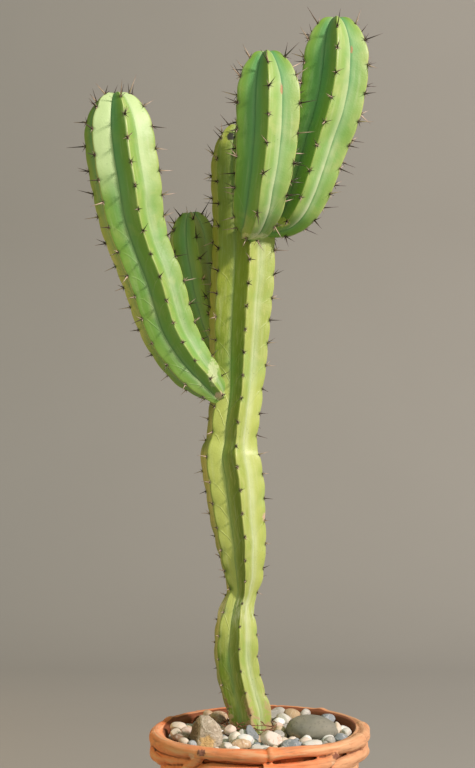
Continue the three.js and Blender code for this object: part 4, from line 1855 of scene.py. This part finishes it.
@dataclass
class Stones:
    """The gravel in the pot: fill, small pebbles, and the stones that can be told apart.

    The trunk and the places kept low are circles in plan, and the bed is its radius, underside
    and top. Waves and chips are heights with lengths. The shares are those of the small pebbles.
    """

    named: dict[str, Pebble]
    loose: list[Pebble]
    reach: float = 119.0
    wall: float = 126.0
    trunk: Triple = (-12.5, 14.0, 29.0)
    kept_low: tuple[Triple, ...] = ((-70, -58, 25), (-68, -86, 19))
    shrunk: float = 0.62
    lowered: float = 6.0
    bed: Triple = (126.5, 246.0, 256.5)
    bed_waves: Keys = ((1.6, 9), (1.2, 3.5))
    broken: tuple[tuple[str, Stone], ...] = (
        ("rock_angular", Stone.ROCK), ("slate_wedge", Stone.SLATE))
    chips: Keys = ((0.8, 11), (0.55, 3.4))
    chipped_edge: float = 1.1
    longest_edge: float = 1.9
    large: Grade = Grade((7.5, 10.5), (260, 264), 0.72)
    small: Grade = Grade((4.2, 7.5), (258, 263.5), 0.62)
    large_share: float = 0.25
    tries: int = 5200
    seed: int = 23
    shares: tuple[tuple[Stone, int], ...] = (
        (Stone.WHITE, 22), (Stone.CREAM, 16), (Stone.PINK, 12), (Stone.GREY, 17),
        (Stone.BLUE_GREY, 13), (Stone.TAN, 13), (Stone.BROWN, 7),
    )

    def build(self) -> list[Object]:
        """Builds all the stones.

        Returns:
            The pieces.
        """
        materials = {kind: kind.value.material() for kind in Stone}
        pieces = [self.fill()]
        single = [(name, pebble.kind, self.smooth_stone(pebble))
                  for name, pebble in self.named.items()]
        single += [(name, kind, self.broken_stone(name)) for name, kind in self.broken]
        for name, kind, form in single:
            like = Stone.TAN if kind is Stone.SPECKLED else kind
            slot = f"stone_{like.name.lower()}"
            pieces.append(settle(form, name + "_stone", materials[kind], slot, name))
        scattered = [*self.loose, *self.scatter()]
        for kind in Stone:
            group = [pebble for pebble in scattered if pebble.kind is kind]
            if group:
                form = joined([self.smooth_stone(pebble, i) for i, pebble in enumerate(group)])
                name = f"gravel_{kind.name.lower()}"
                pieces.append(settle(form, name, materials[kind], "gravel", "gravel_bed"))
        return pieces

    def fill(self) -> Object:
        """Builds the grit between the pebbles as a thick disc with a bumpy top.

        Returns:
            The piece.
        """
        rows, columns = 46, 120
        radius, low, high = self.bed

        def place(column: int, row: int) -> Vector:
            """A point of the disc: its top from the middle out, then its side and underside.

            Args:
                column: The column round it.
                row: The row from its top's middle.

            Returns:
                The point, in metres.
            """
            if row == rows:
                return Vector((0, 0, low)) * MM
            reach = radius * min(1.0, row / (rows - 3))
            top = bearing_point(360 * column / columns, reach, 0)
            height = high + uneven(top, *self.bed_waves) - self.drop(top)
            return Vector((top.x, top.y, low if row == rows - 1 else height)) * MM

        form = wrapped_grid(columns, rows, place)
        grit = EarthFinish("grit", (0.10, 0.07, 0.05), (0.36, 0.29, 0.21), 240.0)
        return settle(form, "gravel_fill", grit.material(), "gravel", "gravel_bed")

    @staticmethod
    def drop(at: Vector) -> float:
        """How much lower the gravel lies near the wall at the sides and back."""
        back = max(0.0, min(1.0, (at.y + 40) / 80))
        return 7 * back * max(0.0, min(1.0, (math.hypot(at.x, at.y) - 86) / 34))

    def smooth_stone(self, pebble: Pebble, order: int = 0) -> BMesh:
        """A water-worn stone with soft flats, fine where it is one that can be told apart.

        Args:
            pebble: Its place, size and kind.
            order: Its place among its kind, which sets its tone.

        Returns:
            The mesh.
        """
        form = toned_form()
        level = 2
        if pebble in self.loose or pebble in self.named.values():
            level = 5 if pebble.half[0] > 20 else 4
        bmesh.ops.create_icosphere(form, subdivisions=level, radius=1)
        matrix = pebble.matrix()
        off = Vector(pebble.at)
        draw = random.Random(round(sum(pebble.at) * 10))
        flats = []
        for _ in range(0 if level == 5 else draw.choice((3, 4, 5, 6))):
            way = Vector((draw.gauss(0, 1), draw.gauss(0, 1), draw.gauss(0, 0.8))).normalized()
            flats.append((way, draw.uniform(0.66, 0.9)))
        for vert in form.verts:
            way = vert.co * (1 + 0.07 * noise.noise(vert.co * 1.3 + off)
                             + 0.03 * noise.noise(vert.co * 3.1 + off))
            for facing, far in flats:
                way -= facing * max(0.0, way.dot(facing) - far) * 0.85
            vert.co = matrix @ way
        set_tone(form, form.verts, 0.4 if level == 5 else (order * 0.618) % 1.0)
        return form

    def broken_stone(self, node: str) -> BMesh:
        """A rough, angular stone from a copy of its solid.

        Args:
            node: The CAD node.

        Returns:
            The mesh.
        """
        form = toned_form()
        form.from_mesh(bpy.data.objects[node].data)
        bmesh.ops.remove_doubles(form, verts=form.verts, dist=1e-5)
        bmesh.ops.dissolve_limit(form, angle_limit=math.radians(4), verts=form.verts,
                                 edges=form.edges)
        bmesh.ops.bevel(form, geom=form.edges, offset=self.chipped_edge * MM, affect="EDGES",
                        segments=1, profile=0.5, material=-1)
        bmesh.ops.triangulate(form, faces=form.faces)
        for _ in range(5):
            long = [edge for edge in form.edges if edge.calc_length() > self.longest_edge * MM]
            if not long:
                break
            bmesh.ops.subdivide_edges(form, edges=long, cuts=1)
            bmesh.ops.triangulate(form, faces=form.faces)
        form.normal_update()
        for vert in form.verts:
            at = vert.co / MM
            chip = uneven(at, *self.chips) - 0.8 * abs(noise.noise(at / 5.2 + Vector((7, 3, 1))))
            vert.co += vert.normal * chip * MM
        set_tone(form, form.verts, 0.4)
        return form

    def scatter(self) -> list[Pebble]:
        """Spreads small pebbles over the fill, clear of the trunk and mostly of the large stones.

        Returns:
            The pebbles.
        """
        draw = random.Random(self.seed)
        kinds = [kind for kind, share in self.shares for _ in range(share)]
        placed: list[Pebble] = []
        fixed = [*self.named.values(), *self.loose]
        x0, y0, trunk_radius = self.trunk
        for attempt in range(self.tries):
            grade = self.large if attempt < self.tries * self.large_share else self.small
            size = draw.uniform(*grade.radius)
            bearing, reach = draw.uniform(0, 360), self.reach * math.sqrt(draw.random())
            reach = min(reach, self.wall - size)
            at = bearing_point(bearing, reach, 0)
            kind, turn, tilt = draw.choice(kinds), draw.uniform(0, 180), draw.uniform(-22, 22)
            wide, flat = draw.uniform(0.75, 1), draw.uniform(0.55, 0.85)
            level = draw.uniform(*grade.level) - self.drop(at)
            if math.hypot(at.x - x0, at.y - y0) < trunk_radius + size * 0.4:
                continue
            if any(stone.covers(at.x, at.y, size * 0.25) for stone in fixed):
                continue
            if any(math.hypot(at.x - x, at.y - y) < far for x, y, far in self.kept_low):
                size, level = size * self.shrunk, level - self.lowered
            if any(math.hypot(at.x - other.at[0], at.y - other.at[1])
                   < grade.close * (size + other.half[0]) for other in placed):
                continue
            half = (size, size * wide, size * flat)
            placed.append(Pebble((at.x, at.y, level), half, kind, turn, tilt))
        return placed


# The studio


@dataclass(frozen=True)
class Lamp:
    """A square soft light: its place, aim and side in metres, power in watts, and tint."""

    name: str
    at: Triple
    aim: Triple
    size: float
    power: float
    tint: Colour

    def hang(self) -> None:
        """Adds the light to the scene."""
        data = bpy.data.lights.new(self.name, "AREA")
        data.shape = "SQUARE"
        data.size = self.size
        data.energy = self.power
        data.color = self.tint
        lamp = bpy.data.objects.new(self.name, data)
        lamp.location = self.at
        way = Vector(self.aim) - Vector(self.at)
        lamp.rotation_euler = way.to_track_quat("-Z", "Y").to_euler()
        bpy.context.scene.collection.objects.link(lamp)


@dataclass
class Studio:
    """Camera, lights, floor and backdrop."""

    camera_at: Triple = (-0.02986, -2.117, 0.736)
    lens: float = 73.125
    paper: Colour = (0.348, 0.34, 0.319)
    paper_side: Keys = ((-7, 0), (3.2, 0), (3.2, 7))
    paper_width: float = 16.0
    paper_bend: float = 1.3
    air: Colour = (0.80, 0.885, 0.73)
    air_strength: float = 0.285
    lamps: tuple[Lamp, ...] = (
        Lamp("key", (4.62, -2.94, 4.25), (0, 0, 0.75), 0.6, 590, (1.0, 0.87, 0.84)),
        Lamp("fill", (0.6, -3.2, 2.3), (0, 0, 0.7), 2.4, 29, (0.70, 0.92, 0.48)),
        Lamp("bounce", (-1.7, 1.0, 0.30), (0, 0, 0.7), 0.9, 10, (1.0, 0.58, 0.16)),
        Lamp("glow", (-2.2, -0.3, 0.35), (0, 0, 0.6), 1.2, 9, (1.0, 0.70, 0.22)),
    )

    def build(self) -> None:
        """Places everything."""
        self.place_camera()
        self.lay_paper()
        for lamp in self.lamps:
            lamp.hang()
        world = bpy.data.worlds.new("studio_air")
        world.use_nodes = True
        air = world.node_tree.nodes["Background"]
        air.inputs["Color"].default_value = (*self.air, 1.0)
        air.inputs["Strength"].default_value = self.air_strength
        bpy.context.scene.world = world
        bpy.context.scene.view_settings.view_transform = "Standard"

    def place_camera(self) -> None:
        """Sets the level camera of the photograph."""
        data = bpy.data.cameras.new("camera")
        data.lens = self.lens
        data.sensor_width = 36.0
        data.clip_end = 50.0
        camera = bpy.data.objects.new("camera", data)
        camera.location = self.camera_at
        camera.rotation_euler = (math.radians(90), 0, 0)
        bpy.context.scene.collection.objects.link(camera)
        bpy.context.scene.camera = camera

    def lay_paper(self) -> None:
        """Makes the floor and backdrop as one curved sheet of paper."""
        form = bmesh.new()
        verts = [form.verts.new((-self.paper_width / 2, *point)) for point in self.paper_side]
        edges = [form.edges.new(pair) for pair in zip(verts, verts[1:])]
        made = bmesh.ops.extrude_edge_only(form, edges=edges)["geom"]
        moved = [item for item in made if isinstance(item, BMVert)]
        bmesh.ops.translate(form, verts=moved, vec=(self.paper_width, 0, 0))
        corner = [edge for edge in form.edges if len(edge.link_faces) == 2]
        bmesh.ops.bevel(form, geom=corner, offset=self.paper_bend, affect="EDGES", segments=24,
                        profile=0.5, material=-1)
        bmesh.ops.recalc_face_normals(form, faces=form.faces)
        for face in form.faces:
            face.smooth = True
        sweep = as_object(form, "paper_sweep")
        sweep.data.materials.append(PaperFinish("paper", self.paper).material())


def plan_stems() -> list[Stem]:
    """The five stems, on the same stations as their solids."""
    return [
        Stem("trunk", [
            (-9, 14, 250, 31), (-14, 13, 290, 33.3), (-23, 12, 318, 31.8), (-31, 10, 355, 31.7),
            (-32, 8, 390, 32), (-31.5, 6, 417, 27.5), (-28.5, 4, 438, 22.5), (-24, 4, 453, 22.2),
            (-22, 4, 476, 29), (-24, 2, 508, 35), (-30, 0, 556, 39.7), (-35, 0, 606, 43),
            (-40, 0, 640, 42.2), (-38, 0, 660, 36.4), (-35.5, 0, 688, 36.9), (-31, 2, 722, 36.9),
            (-29, 4, 769, 40.8), (-26, 6, 837, 44.1), (-22, 8, 905, 45.2), (-23, 12, 971, 43.5),
            (-26, 16, 1029, 43), (-29, 18, 1092, 43)],
            groove=(0.79, 0.71), crest_bearing=12, dome=66, pitch=31, first_areole=7,
            flesh=FleshFinish(
                "flesh_trunk", (0.38, 0.47, 0.12), (0.295, 0.37, 0.063),
                # Painted light: the sunlit band and the sunny grooves; painted shade on the side
                # away from the key lamp.
                bleached=(0.48, 0.54, 0.13), lit_band_from=0.36, lit_band_to=0.78, mottle=0.4,
                sunned=0.05, shade=(0.12, 0.19, 0.003), shaded=0.87, groove_light=0.75,
                crease=0.12, waist=0.434, cork_top=360, cork_low=262,
                marks=(Mark((6, -10, 557), (5, 10, 8), (0.62, 0.42, 0.32)),
                       Mark((-45, -12, 299), (5, 12, 15), (0.28, 0.14, 0.08), 0.8),
                       Mark((-14, -26, 293), (10, 10, 10), (0.30, 0.15, 0.08), 0.85),
                       # Painted shade: a black patch where the leader has a hollow.
                       Mark((-39, 4, 1071), (7, 50, 8), (0.018, 0.02, 0.01), 1.0))),
            swell=1.05,
            twist=((280, -11), (295, -8), (320, -4), (350, -3), (380, -3.5), (409, -1),
                   (440, 0), (470, -6), (498, -6), (530, -1)),
            spine_keys=((300, 0.2), (430, 0.28), (500, 0.48), (600, 0.58), (760, 0.62),
                        (900, 0.85))),
        Stem("left_arm", [
            (-51, -6, 716, 6), (-59, -20, 724, 16), (-67, -28, 732.5, 22.5),
            (-78, -35, 745, 28.5), (-91, -41, 759, 32), (-106, -46, 779, 35),
            (-122, -52, 808, 38), (-141, -62, 870, 41), (-155.5, -67, 908, 40.5),
            (-167, -70, 944, 43.8), (-175, -74, 993, 47.3), (-183, -78, 1043, 47.3),
            (-189, -80, 1117, 47)],
            groove=(0.76, 0.71), crest_bearing=17, dome=60, pitch=30.5, first_areole=10,
            flesh=FleshFinish(
                # Painted light: the sunlit band on the flanks facing front-left, near the top.
                "flesh_left", bleached=(0.52, 0.66, 0.33), lit_band_from=0.965,
                lit_band_to=1.3, sunned=0, groove_light=0.5,
                # Painted light: a pale patch on the flank facing the lamp, near the arm's foot.
                marks=(Mark((-62, -56, 751), (9, 32, 22), (0.66, 0.68, 0.42), 0.5),
                       Mark((-55, -30, 722), (8, 16, 9), (0.64, 0.47, 0.36)))),
            spine_keys=((740, 0.5), (860, 0.72), (980, 0.88), (1060, 1.0))),
        Stem("inner_arm", [
            (-38, 20, 755, 10), (-50, 36, 772, 14), (-62, 51, 795, 22), (-72, 65, 825, 29),
            (-80, 73, 860, 34), (-86, 75, 895, 36.5), (-91, 75, 925, 36.5), (-97, 75, 978, 36)],
            groove=(0.8, 0.72), crest_bearing=10, dome=48, pitch=30, first_areole=10,
            flesh=FleshFinish("flesh_inner", (0.42, 0.46, 0.12), (0.30, 0.38, 0.08),
                              straw=(0.52, 0.47, 0.13))),
        Stem("centre_arm", [
            (-16, -20, 938, 12), (-12, -46, 942, 18), (-7, -68, 952, 29.5), (-3, -82, 969, 36),
            (0, -90, 990, 39.5), (4, -92, 1015, 42.5), (8, -92, 1055, 45.5), (9.5, -92, 1105, 46.5),
            (8, -92, 1169, 44)],
            groove=(0.8, 0.72), crest_bearing=1, dome=62, pitch=36.5, first_areole=18,
            flesh=FleshFinish("flesh_centre", marks=(
                Mark((26.5, -121, 1113), (2.2, 9, 9)),
                Mark((-8, -58, 931), (28, 36, 4.5), (0.62, 0.64, 0.42), 0.75)))),
        Stem("right_arm", [
            (-8, 2, 944, 11), (20, -5, 946, 14), (37, -11, 954, 23), (48, -16, 969, 33.5),
            (59, -19, 995, 40), (70, -19, 1030, 43.5), (80, -18, 1064, 46.5),
            (91, -18, 1098, 49.5), (99, -18, 1135, 50), (102, -18, 1170, 49),
            (103, -18, 1230, 47.5)],
            groove=(0.8, 0.72), crest_bearing=-1, dome=62, pitch=33.5, first_areole=22,
            flesh=FleshFinish("flesh_right", marks=(
                Mark((121.5, -50, 1179), (2.2, 9, 7)),
                Mark((31, -26, 953), (13, 18, 8), (0.62, 0.66, 0.16), 0.7)))),
    ]


def plan_stones() -> Stones:
    """The stones, on the same places as their solids, with the loose ones that show between.

    Returns:
        The stones.
    """
    named = {
        "pebble_large": Pebble((70, -18, 271), (35.5, 26, 19), Stone.GREEN_GREY, -4, 3),
        "pebble_quartz": Pebble((14, -72, 270), (18, 12, 11), Stone.QUARTZ, -46, 12),
        "pebble_grey_front": Pebble((40, -90, 266), (13, 11, 8.5), Stone.BLUE_GREY, 10),
        "pebble_white_flat": Pebble((68, -83, 266), (16, 8.5, 6), Stone.WHITE, 24),
        "pebble_pale_left": Pebble((-110, 8, 268), (12, 12, 8), Stone.CREAM, 15, 8),
        "pebble_brown_flat": Pebble((-106, -40, 264), (12, 11, 7), Stone.BROWN, -20, -4),
        "pebble_tan_back": Pebble((-56, 75, 268), (13, 12, 9), Stone.TAN, 30),
        "pebble_speckled": Pebble((-26, -91, 266), (15.5, 11, 9), Stone.SPECKLED, 8),
        "pebble_white_front": Pebble((-4, -104, 264), (11, 9, 8), Stone.WHITE),
        "pebble_white_right": Pebble((34, 50, 270), (11, 12, 9.5), Stone.WHITE, 24, 12),
        "pebble_olive_back": Pebble((46, 84, 269), (13, 12, 9), Stone.TAN, -16),
        "pebble_blue_back": Pebble((96, 62, 268), (11, 10, 7.5), Stone.BLUE_GREY, 36),
        "pebble_blue_right": Pebble((107, -44, 265), (10, 10, 7), Stone.BLUE_GREY, -30),
    }
    loose = [
        Pebble((-23, -43, 271), (6, 5, 6.5), Stone.WHITE, 0, 20),
        Pebble((-112, -24, 267), (9, 8, 7), Stone.CREAM, 40),
        Pebble((-96, -19, 269), (11, 8, 7), Stone.PINK, 10),
        Pebble((-72, 86, 268), (10, 8, 8), Stone.TAN, 30),
        Pebble((-54, 52, 268), (9, 8, 7), Stone.BROWN, 60),
        Pebble((-20, -75, 270), (12, 8, 8), Stone.WHITE, 15, 10),
        Pebble((-33, -59, 268), (9, 9, 10), Stone.CREAM, 70),
        Pebble((-40, -25, 272), (8.5, 8, 7), Stone.PINK, 20),
        Pebble((-45, -100, 266), (9, 8, 7), Stone.WHITE, 20),
        Pebble((27, 38, 268), (9, 8, 7), Stone.WHITE, 50),
        Pebble((27, -10, 268), (8, 7, 7), Stone.TAN, 0),
        Pebble((26, 8, 269), (7, 6.5, 6), Stone.PINK, 30),
        Pebble((24, -29, 266), (9.5, 8, 7), Stone.GREY, 30),
        Pebble((29, 104, 268), (11, 9, 8), Stone.GREY, 0),
        Pebble((22, 72, 270), (12, 10, 9), Stone.GREY, 20),
        Pebble((66, 98, 267), (10, 8, 8), Stone.GREY, 60),
        Pebble((103, -14, 268), (6.5, 12, 13), Stone.CREAM, 0, 8),
        Pebble((114, -8, 268), (8.5, 8, 7), Stone.WHITE, 60),
        Pebble((116, -22, 267), (8, 8, 7), Stone.WHITE, 0),
        Pebble((92, -57, 265), (8, 7, 6), Stone.GREY, 40),
        Pebble((60, 46, 269), (9, 8, 7), Stone.TAN, 10),
    ]
    return Stones(named, loose)


def main() -> None:
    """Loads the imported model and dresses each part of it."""
    logging.basicConfig(level=logging.INFO, format="%(name)s: %(message)s")
    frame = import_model()
    Studio().build()
    pieces = Pot().build()
    stems = plan_stems()
    for seed, stem in enumerate(stems, start=1):
        others = [other for other in stems if other is not stem]
        pieces += [stem.build_skin(), *stem.build_spines(others, seed)]
    pieces.append(Rootlets().build())
    pieces += plan_stones().build()
    soil = frame["nodes"]["soil"]
    earth = EarthFinish("earth", (0.045, 0.028, 0.018), (0.17, 0.11, 0.07), 160.0)
    soil.data.materials.clear()
    soil.data.materials.append(earth.material())
    log.info("%d pieces", len(pieces))


if __name__ == "__main__":
    main()
